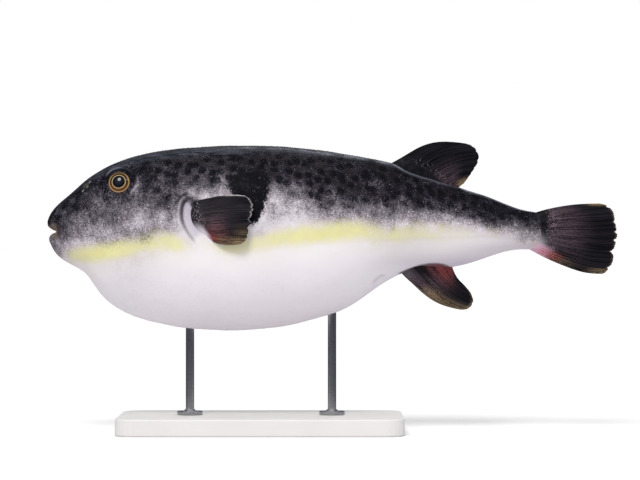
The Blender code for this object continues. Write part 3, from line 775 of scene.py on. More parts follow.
# %% Marks round the eye, the nostril and the mouth
above_eye = np.zeros(len(skin_points))
for side in SIDES.values():
    middle, _, upward, axis = eye_frame(side)
    same_side = (skin_points[:, 1] * side > 0) & (out_of_eye < 20)
    rise = (skin_points - middle) @ upward / np.maximum(out_of_eye, 1e-6)
    above_eye = np.where(same_side, risen(rise, *OVER_EYE), above_eye)
# Above the eye: painted shade in the groove under the brow ridge, and a lighter inner rim of the lid
tone += above_eye * (0.5 * hump(out_of_eye - 9.7, 0.9) - 0.25 * hump(out_of_eye - 8.3, 0.4))
tone += 0.1 * hump(out_of_eye - 9, 4) - 0.2 * hump(eye_fold, 1.0) * faded_ends(fold_share, 0.3)
# A pale line along the brow ridge: a painted highlight
MARKS["brow_light"] = above_eye * hump(out_of_eye - 10.9, 0.5) * (1.1 - 0.85 * risen(distance, 50, 56))
in_front = ended(distance, 9.5, 11.5)
MARKS["tan_lip"] = ended(np.abs(tan_gap), 0.2, 3.8) * faded_ends(tan_share, 0.2) * in_front
MARKS["lip_groove"] = hump(groove_gap, 1.0) * faded_ends(groove_share, 0.3) * in_front
MARKS["inner_lip"] = risen(-lips, 0, 1)
MARKS["nostril"] = hump(away_from([NOSTRIL]), 2.8)
# Painted shade: the nostril's pits are painted nearly black, as the inside of a deep hole looks
MARKS["pit"] = hump(from_pit, 1.1)
# Painted glints of light on the nostril
MARKS["glint"] = hump(away_from(NOSTRIL_PAINTED_GLINTS), 0.6)
print("points inside the lips:", int((MARKS["inner_lip"] > 0.5).sum()))

# %% Marks of the back, the roots of the fins and the belly
# Over the shoulder lies the dorsal fin's dark fleshy base. Along the shoulder's ridge, a lighter tone
# and a pale bluish line are a painted highlight of the wet ridge
above_shoulder = risen(shoulder, 0, 0.8) * ended(shoulder, 9, 13) * faded_ends(shoulder_share, 0.1)
tone += 0.35 * above_shoulder - 0.25 * hump(shoulder, 0.6) * faded_ends(shoulder_share)
shoulder_light = hump(shoulder + 0.2, 0.7) * (1 - 0.8 * shoulder_share)
MARKS["shoulder_light"] = shoulder_light * faded_ends(shoulder_share, 0.06)
back_share = level / back_at(distance)
MARKS["crown"] = risen(back_share, 0.84, 0.98)
front = ended(distance, 110, 210) * risen(distance, 0, 40)
# A painted sheen: bluish streaks along the top of the head and the front of the back
MARKS["front_crown"] = risen(back_share, 0.84, 0.94) * ended(back_share, 0.955, 0.995) * front
MARKS["upper"] = risen(level, 8, 38)
behind_head = risen(distance, 55, 90)
MARKS["spotted"] = behind_head * (1 - 0.4 * risen(distance, 190, 230) - 0.6 * risen(distance, 310, 330))
# Along the anal fin's root: its dark purple flesh, and painted shade where the fin meets the belly
MARKS["anal_root"] = ended(anal_gap, -0.8, 0.6) * faded_ends(anal_share, 0.04)
MARKS["ruddy"] = MARKS["anal_root"] * risen(distance, 264, 274)
MARKS["rosy"] = hump(distance - 349, 7) * hump(level + 12.5, 4)
# A lavender veil: darker low on the tail stem, and painted shade under the belly, near the anal fin and
# in the fold of the vent
dusky = risen(distance, 255, 340) * ended(level, 2, 7) * (0.5 + 0.5 * ended(level, -12, -4))
dusky += (0.5 * hump(distance - 262, 22) + 0.7 * hump(distance - 294, 26)) * hump(level + 22, 6)
dusky += 0.3 * hump(distance - 305, 25) * hump(level + 13, 4)
dusky += 0.8 * hump(vent, 1.0) * faded_ends(vent_share, 0.3)
under_belly = -level - 0.76 * np.abs(belly_at(distance))
MARKS["dusky"] = dusky + 0.4 * risen(under_belly, 0, 14) * risen(distance, 60, 120)
print("marks:", ", ".join(MARKS))


# %% A place for each point as if the skin lay flat
def set_values(mesh, name, values):
    """Stores one number for each point of the mesh, for its material to read."""
    attribute = mesh.attributes.new(name, "FLOAT", "POINT")
    attribute.data.foreach_set("value", np.asarray(values, np.float32))


def set_places(mesh, name, places):
    """Stores a place of three numbers for each point of the mesh."""
    attribute = mesh.attributes.new(name, "FLOAT_VECTOR", "POINT")
    attribute.data.foreach_set("vector", np.asarray(places, np.float32).ravel())


top, bottom, widest, breadth = section(np.minimum(distance, FLESH_LENGTH - 6))
angle = np.arctan2(skin_points[:, 1], level - widest)
girth = angle * (breadth + top - widest) / 2
hide = np.stack([distance, girth, np.zeros_like(girth)], axis=-1) * MM
for name, values in MARKS.items():
    set_values(skin_mesh, name, values)
set_places(skin_mesh, "hide", hide)
print("widest hide", round(float(np.ptp(girth))), "mm")

# %% Unwrap the skin
unwrapped = np.zeros((len(renumbered), 2))
row_run = np.r_[0, np.cumsum(np.linalg.norm(
    np.diff(flat_net.reshape(ROWS, COLUMNS, 3), axis=0), axis=-1).mean(axis=1))]
unwrapped[:ROWS * COLUMNS, 0] = np.repeat(0.01 + 0.98 * row_run / row_run[-1], COLUMNS)
unwrapped[:ROWS * COLUMNS, 1] = np.tile(np.arange(COLUMNS) / COLUMNS, ROWS)
unwrapped[len(flat_net)], unwrapped[len(flat_net) + 1] = (0.005, 0.5), (0.995, 0.5)
for side, new in socket_places.items():
    edge = unwrapped[borders[side]]
    middle = edge.mean(axis=0)
    share = (np.arange(len(new)) + 1)[:, None, None] / (len(new) + 1)
    unwrapped[new.ravel()] = (middle + share * (edge - middle)).reshape(-1, 2)
    unwrapped[new.max() + 1] = middle
unwrapped = unwrapped[used]


def add_map(mesh, name, places, faces):
    """A map from the points' places. A face across the seam takes its far side past 1, then all
    is drawn in a little so that it fits the square."""
    layer = mesh.uv_layers.new(name=name)
    corner_places = []
    for each in faces:
        corner = places[each].copy()
        wraps = np.ptp(corner[..., 1], axis=1) > 0.5
        corner[..., 1] += wraps[:, None] & (corner[..., 1] < 0.5)
        corner_places.append(corner.reshape(-1, 2))
    flat = np.concatenate(corner_places) * [1, 0.98] + [0, 0.01]
    layer.uv.foreach_set("vector", flat.astype(np.float32).ravel())


add_map(skin_mesh, "OFBake", unwrapped, [skin_quads, skin_fans])
print("map on", len(skin_mesh.loops), "corners")


# %% Show the skin
def shown(mesh, name):
    """Puts a mesh in the scene as a piece of the fish."""
    obj = bpy.data.objects.new(name, mesh)
    bpy.context.scene.collection.objects.link(obj)
    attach(obj, "root")
    return obj


skin = shown(skin_mesh, "puffer_skin")
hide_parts("head", "trunk", "belly", "tail_stem")
skin_corners = [[round(v, 4) for v in skin.bound_box[corner]] for corner in (0, 6)]
print("skin from", skin_corners[0], "to", skin_corners[1])

# %% [markdown]
# ## Eyes
# A puffer's eye is a black pupil in a bright gold ring, a brown ring, and a second gold ring under the
# lid, all behind a clear cornea. A glass shell over a painted disc is how model eyes are made, but here
# one smooth ball carries the rings as paint under a clear coat, which gives the same sharp highlight.
# The ball is a half circle turned about the way the eye looks, and each point stores how far out of
# the pupil's middle it is, and whether it is low or high in the eye.

# %% Turn the eyeballs
EYE_COLUMNS, EYE_RINGS = 72, 44
CORNEA_FLATNESS = 0.85  # how much of its round height the cornea keeps in front of the lids
FIBRE_CIRCLE, FIBRE_RUN = 6, 0.35  # where the fibres' noise is read: round a circle, drawn in outwards


def turned_out(mesh):
    """Turns all faces outwards."""
    work = bmesh.new()
    work.from_mesh(mesh)
    bmesh.ops.recalc_face_normals(work, faces=work.faces)
    work.to_mesh(mesh)
    work.free()
    return mesh


def capped(name, rings, poles):
    """A closed mesh: walls between rings, and a fan of faces from each pole to the ring beside it."""
    places = np.arange(rings[..., 0].size).reshape(rings.shape[:2])
    faces = [walls_between(places), fan(places.size, places[0]), fan(places.size + 1, places[-1])]
    points = np.concatenate([rings.reshape(-1, 3), poles])
    return turned_out(made_mesh(name, points, faces)), points


eyes = []
for side_name, side in SIDES.items():
    middle, backward, upward, axis = eye_frame(side)
    away = (np.linspace(0, 1, EYE_RINGS + 2)[1:-1] ** 1.4 * math.pi)[:, None]
    round_eye = np.linspace(0, 2 * math.pi, EYE_COLUMNS, endpoint=False)[None, :]
    across = np.sin(away) * EYEBALL_RADIUS
    rings = (across * np.cos(round_eye))[..., None] * backward
    rings = rings + (across * np.sin(round_eye))[..., None] * upward
    stands_out = EYEBALL_RADIUS * np.cos(away) - EYE_SUNK
    stands_out = np.where(stands_out > 0, CORNEA_FLATNESS * stands_out, stands_out)
    rings = rings + stands_out[..., None] * axis + middle
    front = middle + CORNEA_FLATNESS * (EYEBALL_RADIUS - EYE_SUNK) * axis
    back = middle - (EYEBALL_RADIUS + EYE_SUNK) * axis
    ball, ball_points = capped(f"eyeball_{side_name}", rings, [front, back])
    offset = ball_points - middle
    flat = np.stack([offset @ backward, offset @ upward], axis=-1)
    out = np.linalg.norm(flat, axis=1)
    way = flat / np.maximum(out, 1e-6)[:, None]
    showing = offset @ axis >= -EYE_SUNK
    set_values(ball, "ring", np.where(showing, out, EYEBALL_RADIUS) / EYEBALL_RADIUS)
    set_values(ball, "low", ended(way[:, 1], -0.7, 0.1))
    set_values(ball, "high", risen(way[:, 1], 0.5, 1) * risen(out, 4.9, 5.7))
    set_places(ball, "iris", np.column_stack([way * FIBRE_CIRCLE, out * FIBRE_RUN]) * MM)
    eye = shown(ball, f"eyeball_{side_name}")
    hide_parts(f"eye_{side_name}")
    eyes.append(eye)
print("eyes of", 2 * EYEBALL_RADIUS, "mm, showing", 2 * EYE_OPENING_RADIUS, "mm")

# %% [markdown]
# ## Beak
# Puffers have four fused teeth, two above and two below, that meet as a beak with a seam in the middle.
# Each plate is a wedge carried round an arc. Extruding a curve would do the same; a sweep by numbers
# lets the wedge thin towards its ends and dip at the seam.

# %% Sweep the beak plates
TEETH_ARC_RADIUS, TEETH_FRONT = 9, 6.6
TEETH_HALF_TURN = math.radians(48)
TOOTH_SECTION = ((-1.4, 5.6), (1.4, 5.6), (1.5, 2.6), (0.9, 1.0), (-0.2, 0.4), (-1.3, 2.2))


def softened(corners, steps=8, passes=3):
    """A closed outline cut into short steps, with each point then moved to the mean of its
    neighbours a few times."""
    corners = np.array(corners, float)
    share = np.linspace(0, 1, steps, endpoint=False)[None, :, None]
    line = (corners[:, None] * (1 - share) + np.roll(corners, -1, 0)[:, None] * share).reshape(-1, 2)
    for _ in range(passes):
        line = (np.roll(line, 1, 0) + line + np.roll(line, -1, 0)) / 3
    return line


wedge = softened(TOOTH_SECTION)
sweep = np.linspace(-TEETH_HALF_TURN, TEETH_HALF_TURN, 49)[:, None]
seam = hump(sweep, 0.035)
narrowed = 1 - 0.35 * (np.abs(sweep) / TEETH_HALF_TURN) ** 4
radius = TEETH_ARC_RADIUS + (wedge[:, 0] - 0.3 * seam) * narrowed
biting = 0.12 * np.sin(90 * sweep) * hump(wedge[:, 1] - 0.5, 0.8)
beak = []
for name, upward in (("upper", 1), ("lower", -1)):
    rings = stacked(
        TEETH_FRONT + TEETH_ARC_RADIUS - radius * np.cos(sweep), radius * np.sin(sweep),
        MOUTH_LEVEL + upward * (wedge[:, 1] + 0.25 * seam * (wedge[:, 1] < 2) + biting),
    )
    mesh, _ = capped(f"beak_{name}", rings, [rings[0].mean(axis=0), rings[-1].mean(axis=0)])
    plate = shown(mesh, f"beak_{name}")
    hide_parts(f"teeth_{name}")
    beak.append(plate)
print("beak plates", round(2 * TEETH_ARC_RADIUS * math.sin(TEETH_HALF_TURN), 1), "mm wide")

# %% [markdown]
# ## Fins
# A puffer has no spines: its fins are short fans of soft rays, joined by a thin web, each on a fleshy
# foot, with a margin that frays into a lobe for each ray. Planes with a displaced image would be flat
# and need a picture. Here a fin is a Coons patch between its four edges, with a thickness that follows
# the rays, which fork halfway out, and a margin drawn back between them.

# %% Fin surface
class Fin:
    """A fin between four edges in side view: the front ray, the last ray, the root and the
    margin. Points inside are a Coons patch: the sum of the two straight blends between facing
    edges, less the blend of the corners."""

    def __init__(self, front_ray, last_ray, root, margin):
        self.front_ray, self.last_ray = route(front_ray), route(last_ray)
        self.root, self.margin = route(root), route(margin)

    def side_view(self, out, across):
        """The points in side view at shares of the way out and across."""
        up, over = out[..., None], across[..., None]
        rays = (1 - over) * self.front_ray(out) + over * self.last_ray(out)
        lines = (1 - up) * self.root(across) + up * self.margin(across)
        low = (1 - over) * self.root(0.0) + over * self.root(1.0)
        high = (1 - over) * self.margin(0.0) + over * self.margin(1.0)
        return rays + lines - (1 - up) * low - up * high


square_fin = Fin(((0, 0), (0, 1)), ((1, 0), (1, 1)), ((0, 0), (1, 0)), ((0, 1), (1, 1)))
print("the middle of a square fin:", square_fin.side_view(np.array(0.5), np.array(0.5)))

# %% Outlines of the fins
DORSAL_FIN = Fin(
    front_ray=((238, 46), (246.5, 50.6), (255.6, 56), (263.4, 60.1), (275, 63), (290.7, 62.4)),
    last_ray=((286, 24), (289, 30.5), (293, 33.8)),
    root=((238, 46), (264, 33), (286, 24)),
    margin=((290.7, 62.4), (299, 60), (303.4, 53), (300, 43.7), (293, 33.8)),
)
ANAL_FIN = Fin(
    front_ray=(
        (245, -22), (248.5, -28.8), (256, -36.3), (263.4, -43.2), (276, -51.3), (290.6, -55.3),
    ),
    last_ray=((283, -16), (285.2, -26.4), (289.2, -33.8), (292.1, -36.8)),
    root=((245, -22), (264, -16), (283, -16)),
    margin=((290.6, -55.3), (296.8, -54), (299.5, -49), (297.5, -43), (292.1, -36.8)),
)
TAIL_FIN = Fin(
    front_ray=((336, 10.5), (345.7, 14), (357, 16.8), (372, 19), (389, 19.6)),
    last_ray=((334, -9.5), (344.7, -15.9), (357, -21.8), (367, -25.8), (380, -29.4), (391.5, -30)),
    root=((336, 10.5), (344, 0), (334, -9.5)),
    margin=(
        (389, 19.6), (397, 16.3), (399.5, 8), (401, -3.5), (399, -13), (397, -24), (391.5, -30),
    ),
)
PECTORAL_FIN = Fin(
    front_ray=((104.5, 20.5), (117.6, 23.2), (134, 24.9), (141, 24.2)),
    last_ray=((114.5, -5.5), (121.5, -8.6), (130, -9.6), (137.5, -9)),
    root=PECTORAL_ROOT,
    margin=((141, 24.2), (145.7, 18), (144.3, 9), (142.6, 0), (141, -6), (137.5, -9)),
)
print("the tail fin's upper corner:", TAIL_FIN.side_view(np.array(1.0), np.array(0.0)).round(1))


# %% Thickness of a fin
FIN_EDGE = 0.12  # half the thickness at the margin
MARGIN_ROUNDING = 0.03  # the share of the way out over which the margin rounds off
RAY_RIDGE = 0.09  # how far a ray stands out of the web
STEPS_OUT = 56


def fleshy_foot(foot, rays, share, out, across):
    """Half thickness in the middle of a web: thick in the fleshy foot, which ends at that share
    of the way out, then thinning evenly to the margin. Both edges are thinner."""
    base = foot + (rays - foot) * eased(out / share)
    blade = rays + (0.3 - rays) * np.clip((out - share) / (1 - share), 0, 1)
    rounded = 1 - 0.75 * np.abs(2 * across - 1) ** 4
    return np.where(out < share, base, blade) * rounded


def ray_ridges(out, across, count, share):
    """1 on a ray and 0 on the web: a raised cosine across the fin, which has twice as many
    waves past the fork."""
    fork = risen(out, 0.45, 0.75)
    single = 0.5 + 0.5 * np.cos(2 * math.pi * count * across)
    double = 0.5 + 0.5 * np.cos(4 * math.pi * count * across)
    return (single * (1 - fork) + double * fork) * risen(out, share, share + 0.15)


def upright_sheet(view, out, side):
    """The middle sheet of a fin in the fish's middle plane, a little wavy at its margin."""
    return 0.9 * out**2 * np.sin(view[..., 1] / 5.5 + 1) * np.cos(view[..., 0] / 17)


def laid_back(view, out, side):
    """The middle sheet of a pectoral fin: it grows steeply out of the flank, then lies back."""
    flank = flank_at(view[..., 0], view[..., 1])
    held = ended(view[..., 1], -4, 3) * ended(out, 0.02, 0.18)
    rise = 10.4 * out**0.7 * (1 - 0.6 * held) - 2.4
    return side * (flank + rise + 0.5 * out**2 * np.sin(view[..., 1] / 4))


def frayed(across, rays, lobes, depth, seed):
    """How far the margin is drawn back, as a share of the fin's length: shallow between the forks
    of every ray, and deeper in the few clefts between the lobes, each of its own depth."""
    random = np.random.default_rng(seed)
    shallow = np.interp(across, np.linspace(0, 1, 2 * rays + 1), random.uniform(0.1, 1, 2 * rays + 1))
    deep = np.interp(across, np.linspace(0, 1, lobes + 1), random.uniform(0.25, 1, lobes + 1))
    placing = across + 0.25 / lobes * np.sin(2 * math.pi * 1.7 * across + seed)
    teeth = 0.3 * shallow * np.abs(np.sin(2 * math.pi * rays * across))
    clefts = deep * (1 - np.abs(np.sin(math.pi * lobes * placing))) ** 2
    return depth * (teeth + clefts)


print("a foot of 5 mm is", round(float(fleshy_foot(5, 0.8, 0.3, 0.15, 0.5)), 1), "thick halfway up")

# %% Build a fin
def fin_piece(name, fin, rays, foot, sheet, side=1, lobes=8, depth=0.03):
    """Two sheets of the fin, a thickness apart, joined at all edges. The margin frays over the
    last quarter of the fin."""
    steps_across = 8 * rays + 1
    out = np.linspace(0, 1, STEPS_OUT)[:, None] + np.zeros(steps_across)
    across = np.linspace(0, 1, steps_across)[None, :] + np.zeros((STEPS_OUT, 1))
    reach = out * (1 - frayed(across[0], rays, lobes, depth, rays) * out**6)
    view = fin.side_view(reach, across)
    middle = sheet(view, reach, side)
    half = fleshy_foot(*foot, out, across)
    half = half + RAY_RIDGE * ray_ridges(out, across, rays, foot[2]) * (1 - 0.5 * out)
    half = np.maximum(half * np.sqrt(np.clip((1 - out) / MARGIN_ROUNDING, 0.02, 1)), FIN_EDGE)
    near, far = (stacked(view[..., 0], middle + way * half, view[..., 1]) for way in (-1, 1))
    rings = np.concatenate([near, far[:, ::-1]], axis=1)
    fin_places = np.arange(rings[..., 0].size).reshape(rings.shape[:2])
    caps = []
    for ring in (fin_places[0], fin_places[-1]):
        one, other = ring[:steps_across], ring[steps_across:][::-1]
        caps.append(np.stack([one[:-1], one[1:], other[1:], other[:-1]], axis=-1))
    mesh = made_mesh(name, rings.reshape(-1, 3), [walls_between(fin_places), *caps])
    turned_out(mesh)
    out, across = (np.concatenate([each, each[:, ::-1]], axis=1).ravel() for each in (out, across))
    set_values(mesh, "out", out)
    set_values(mesh, "rays", across * rays)
    piece = shown(mesh, name)
    return piece, out, across


print("a fin of 16 rays has", 2 * STEPS_OUT * (8 * 16 + 1), "points")

# %% All fins and their colours as soft numbers
def set_colours(piece, **marks):
    """Stores each colour's share on the fin. A fin that has none of a colour stores nothing of it,
    which its material reads as 0."""
    for name, values in marks.items():
        set_values(piece.data, name, np.clip(values, 0, 1))


dorsal, out, across = fin_piece(
    "dorsal_fin", DORSAL_FIN, 17, (5.5, 0.75, 0.3), upright_sheet, depth=0.025
)
set_colours(
    dorsal, tan=risen(across, 0.78, 0.98) * risen(out, 0.42, 0.72),
    mauve=0.6 * risen(across, 0.3, 0.7) * ended(out, 0.5, 0.8),
    pale=0.8 * hump(out - 0.27 - 0.1 * across, 0.05) * risen(across, 0.08, 0.18),
    flesh=ended(out, 0.2, 0.3),
)
anal, out, across = fin_piece(
    "anal_fin", ANAL_FIN, 15, (10.6, 0.85, 0.45), upright_sheet, lobes=5, depth=0.02
)
set_colours(
    anal, tan=0.6 * ended(across, 0.08, 0.36) * risen(out, 0.35, 0.55) + 0.5 * risen(out, 0.95, 1),
    red=1.15 * risen(across, 0.3, 0.75) * ended(out, 0.3, 0.75) * risen(out, 0.04, 0.14),
    mauve=hump(out - 0.3, 0.28), flesh=hump(across - 0.34, 0.2) * ended(out, 0.22, 0.46),
    fair=0.09 * ended(across, 0.08, 0.26) * ended(out, 0.15, 0.4),
)
tail, out, across = fin_piece(
    "tail_fin", TAIL_FIN, 20, (4.6, 0.8, 0.6), upright_sheet, lobes=7, depth=0.055
)
past_stem = out - 0.14 - 0.68 * (across - 0.5) ** 2
upper_tip = 0.9 * ended(across, 0.03, 0.12) * risen(out, 0.72, 0.92)
lower_tip = 0.8 * risen(across, 0.88, 0.98) * risen(out, 0.7, 0.95)
lower_edge = 0.3 * risen(across, 0.84, 0.94) * hump(out - 0.42, 0.16)
web = risen(past_stem, -0.04, 0.04) * (1 - 0.6 * risen(across, 0.55, 0.9))
set_colours(
    tail, tan=np.maximum(upper_tip, lower_tip) + 0.35 * risen(out, 0.97, 1) + lower_edge,
    red=risen(across, 0.8, 0.9) * risen(out, 0.12, 0.22) * ended(out, 0.32, 0.5),
    mauve=0.9 * ended(out, 0.3, 0.8) * web,
    pale=0.9 * hump(past_stem - 0.05, 0.09), flesh=0.8 * ended(past_stem, -0.04, 0.06),
    fair=0.66 * risen(across, 0.45, 0.95) * ended(past_stem, -0.1, 0.06),
    rosy=risen(across, 0.74, 0.9) * ended(out, 0.2, 0.36),
)
fin_pieces = [dorsal, anal, tail]
for piece, node in zip(fin_pieces, ("fin_dorsal", "fin_anal", "fin_tail")):
    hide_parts(node)
for side_name, side in SIDES.items():
    piece, out, across = fin_piece(
        f"pectoral_fin_{side_name}", PECTORAL_FIN, 16, (3.4, 0.6, 0.3), laid_back, side, depth=0.035
    )
    upper_rim = ended(across, 0.01, 0.035) * risen(out, 0.5, 0.7)
    rear_rim = ended(across, 0.35, 0.6) * risen(out, 0.97, 1)
    fair = risen(across, 0.42, 0.82) * ended(out, 0.09, 0.22)
    sheen = 0.012 * ended(out, 0.6, 0.95) * ended(across, 0.6, 0.9)
    glow = hump(across - 0.88, 0.13) * hump(out - 0.19, 0.13)
    foot = out - 0.22 * (across - 0.15)
    worn = 0.27 * risen(across, 0.5, 0.8) * risen(out, 0.6, 0.9)
    set_colours(
        piece, fair=np.maximum(fair, sheen), flesh=ended(foot, 0.04, 0.24) * (1 - fair),
        mauve=0.85 * hump(across - 0.58, 0.26) * ended(out, 0.35, 0.7),
        tan=worn + 0.5 * risen(across, 0.72, 0.92),
        red=0.8 * glow + 0.28 * hump(across - 0.75, 0.25) * hump(out - 0.36, 0.22),
        pale=(0.4 * ended(foot, 0.06, 0.16) + 0.9 * hump(foot - 0.08, 0.06)) * ended(across, 0.7, 0.95),
        rim=0.8 * np.maximum(upper_rim, rear_rim),
    )
    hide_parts(f"fin_pectoral_{side_name}")
    fin_pieces.append(piece)
print("fins:", sum(len(piece.data.polygons) for piece in fin_pieces), "faces")

# %% [markdown]
# ## Prickles
# A puffer has no scales. Its back and belly carry small spines that lie flat until it swells, and feel
# like sandpaper. Hair particles could stand for them, but a particle is not part of a mesh that leaves
# Blender. So each prickle is a small closed cone of five sides, rooted in the skin and leaning back, and
# a few thousand of them are one mesh for the back and one for the belly.

# %% Choose the roots
PRICKLE_SIDES = 5
PRICKLE_RADIUS, PRICKLE_HEIGHT, PRICKLE_ROOT = 0.2, 0.42, 0.12
PRICKLE_LEAN = 0.75  # how far back the tip leans, as a share of the height
PRICKLE_MAP_RADIUS = 0.0015
skin_outward = outward_normals(skin_mesh)


def blended(values, faces, shares):
    """Values at places inside four-sided faces: the sum of the corners' values by their shares."""
    return np.einsum("pc,pc...->p...", shares, values[faces])


def roots(where, count, seed):
    """Random places on the faces whose middle is in the patch, as faces and corner shares. A large
    face is chosen more often, by its area, which is half the cross product of its diagonals."""
    random = np.random.default_rng(seed)
    corner = shaped_points[skin_quads]
    area = np.linalg.norm(np.cross(corner[:, 2] - corner[:, 0], corner[:, 3] - corner[:, 1]), axis=1)
    weight = area * where(corner.mean(axis=1))
    faces = skin_quads[random.choice(len(skin_quads), count, p=weight / weight.sum())]
    one, other = random.uniform(0, 1, (2, count))
    weights = (1 - one) * (1 - other), one * (1 - other), one * other, (1 - one) * other
    return faces, np.stack(weights, axis=-1), random


def on_back(at):
    """The patch behind the head and between the flanks, thinning out at its border."""
    lengthwise = risen(at[:, 0], 42, 56) * ended(at[:, 0], 218, 238)
    return lengthwise * risen(at[:, 2] - 0.62 * back_at(at[:, 0]), 0, 12)


def on_belly(at):
    """The patch under the belly pouch, thinning out at its border."""
    return risen(at[:, 0], 42, 56) * ended(at[:, 0], 196, 218) * ended(at[:, 2], -36, -22)


prickly = (on_back(shaped_points) + on_belly(shaped_points)).mean()
print("prickles may grow on", round(100 * float(prickly)), "percent of the points")

# %% Grow the prickles
def prickles(name, where, count, seed):
    """Cones on their roots: a ring in the plane of the skin, a little sunk, and a tip that leans
    back."""
    faces, shares, random = roots(where, count, seed)
    at, normal = blended(shaped_points, faces, shares), unit(blended(skin_outward, faces, shares))
    along = unit(np.array([1.0, 0, 0]) - normal[:, :1] * normal)
    sideways = np.cross(normal, along)
    size = random.uniform(0.7, 1.2, count)[:, None]
    turn = np.arange(PRICKLE_SIDES) * 2 * math.pi / PRICKLE_SIDES
    ring = np.cos(turn)[:, None, None] * along + np.sin(turn)[:, None, None] * sideways
    ring = at + size * (PRICKLE_RADIUS * ring - PRICKLE_ROOT * normal)
    tip = at + size * PRICKLE_HEIGHT * (normal + PRICKLE_LEAN * along)
    cone = np.concatenate([ring, tip[None]]).transpose(1, 0, 2).reshape(-1, 3)
    first = np.arange(count)[:, None] * (PRICKLE_SIDES + 1)
    side = np.arange(PRICKLE_SIDES)
    tip_place = np.full((count, PRICKLE_SIDES), PRICKLE_SIDES) + first
    walls = np.stack([first + side, first + (side + 1) % PRICKLE_SIDES, tip_place], axis=-1)
    walls, floors = walls.reshape(-1, 3), first + side[::-1]
    mesh = made_mesh(name, cone, [walls, floors])
    each_point = np.repeat(np.arange(count), PRICKLE_SIDES + 1)
    for mark, values in MARKS.items():
        set_values(mesh, mark, blended(values, faces, shares)[each_point])
    set_places(mesh, "hide", blended(hide, faces, shares)[each_point])
    set_values(mesh, "tip", np.tile(np.r_[np.zeros(PRICKLE_SIDES), 1], count))
    spread = np.concatenate([np.stack([np.cos(turn), np.sin(turn)], axis=-1), [[0, 0]]])
    root_place = unwrapped[faces[:, 0]]
    patch = np.clip(root_place[:, None] + PRICKLE_MAP_RADIUS * spread, 0.002, 0.998).reshape(-1, 2)
    add_map(mesh, "OFBake", patch, [walls, floors])
    return shown(mesh, name)


back_prickles = prickles("back_prickles", on_back, 5200, 11)
belly_prickles = prickles("belly_prickles", on_belly, 3600, 12)
print("prickles:", len(back_prickles.data.polygons) + len(belly_prickles.data.polygons), "faces")

# %% [markdown]
# ## Wiring paint
# Blender paints with small nodes that are wired together by hand. A brush that adds and wires them
# keeps a recipe short enough to read: each method adds what it needs and gives back the output.
# Colours are written as a screen shows them, and turned into the even scale that light adds up in.

# %% A brush for node trees
def shade(red, green, blue):
    """A colour as a screen shows it, from 0 to 255, as the linear colour that a shader takes."""
    share = np.array([red, green, blue]) / 255
    linear = np.where(share <= 0.04045, share / 12.92, ((share + 0.055) / 1.055) ** 2.4)
    return (*linear.tolist(), 1.0)


class Brush:
    """Adds nodes to one tree and wires them. An input is a number, a colour or another output."""

    def __init__(self, tree):
        self.tree = tree

    def node(self, kind, inputs=(), **settings):
        """A new node, with its settings and with its inputs set or wired."""
        node = self.tree.nodes.new(kind)
        for name, value in settings.items():
            setattr(node, name, value)
        for name, value in dict(inputs).items():
            if isinstance(value, bpy.types.NodeSocket):
                self.tree.links.new(value, node.inputs[name])
            else:
                node.inputs[name].default_value = value
        return node

    def sum(self, operation, *values, clamp=False):
        """One sum with numbers, which may be held between 0 and 1."""
        inputs = dict(enumerate(values))
        return self.node("ShaderNodeMath", inputs, operation=operation, use_clamp=clamp).outputs[0]

    def add(self, *values):
        """All the values together."""
        total = values[0]
        for value in values[1:]:
            total = self.sum("ADD", total, value)
        return total

    def times(self, *values):
        """All the values multiplied."""
        total = values[0]
        for value in values[1:]:
            total = self.sum("MULTIPLY", total, value)
        return total

    def less(self, value):
        """1 less the value."""
        return self.sum("SUBTRACT", 1.0, value)

    def swing(self, value, size):
        """A value between 0 and 1 as a swing to both sides of nothing."""
        return self.sum("MULTIPLY_ADD", value, size, -size / 2)

    def step(self, value, start, end):
        """0 at the start and 1 at the end, eased between them."""
        inputs = {0: value, 1: start, 2: end}
        return self.node("ShaderNodeMapRange", inputs, interpolation_type="SMOOTHSTEP").outputs[0]

    def mixed(self, share, one, other, blend="MIX"):
        """One colour where the share is 0 and the other where it is 1."""
        inputs = {0: share, 6: one, 7: other}
        return self.node("ShaderNodeMix", inputs, data_type="RGBA", blend_type=blend).outputs[2]

    def between(self, share, one, other):
        """A mix of two colours that are written as a screen shows them."""
        return self.mixed(share, shade(*one), shade(*other))

    def laid(self, colour, share, over, blend="MIX"):
        """The colour under a share of another that is written as a screen shows it."""
        return self.mixed(share, colour, shade(*over), blend)

    def ramp(self, value, stops):
        """A colour for each value, from a few stops of a value and a colour."""
        node = self.node("ShaderNodeValToRGB", {0: value})
        while len(node.color_ramp.elements) < len(stops):
            node.color_ramp.elements.new(1.0)
        for element, (position, colour) in zip(node.color_ramp.elements, stops):
            element.position = position
            element.color = shade(*colour)
        return node.outputs[0]

    def noise(self, place, size, detail=2.0, roughness=0.5):
        """Noise whose swells are about that many metres across."""
        inputs = {"Vector": place, "Scale": 1 / size, "Detail": detail, "Roughness": roughness}
        return self.node("ShaderNodeTexNoise", inputs).outputs["Fac"]

    def cells(self, place, size, randomness=1.0, dimensions="3D"):
        """The distance to the nearest of scattered dots that stand about so many metres apart."""
        inputs = {"Vector": place, "Scale": 1 / size, "Randomness": randomness}
        node = self.node("ShaderNodeTexVoronoi", inputs, voronoi_dimensions=dimensions)
        return node.outputs["Distance"]

    def stretched(self, place, scale):
        """The place, stretched or drawn in along each direction."""
        return self.node("ShaderNodeMapping", {"Vector": place, "Scale": scale}).outputs[0]

    def mark(self, name, output="Fac"):
        """What the piece's own points store under a name."""
        return self.node("ShaderNodeAttribute", attribute_name=name).outputs[output]

    def place(self):
        """The place on the piece, in metres of its own frame."""
        return self.node("ShaderNodeTexCoord").outputs["Object"]


print("the grey that a screen calls 128 is", round(shade(128, 128, 128)[0], 2), "of full light")


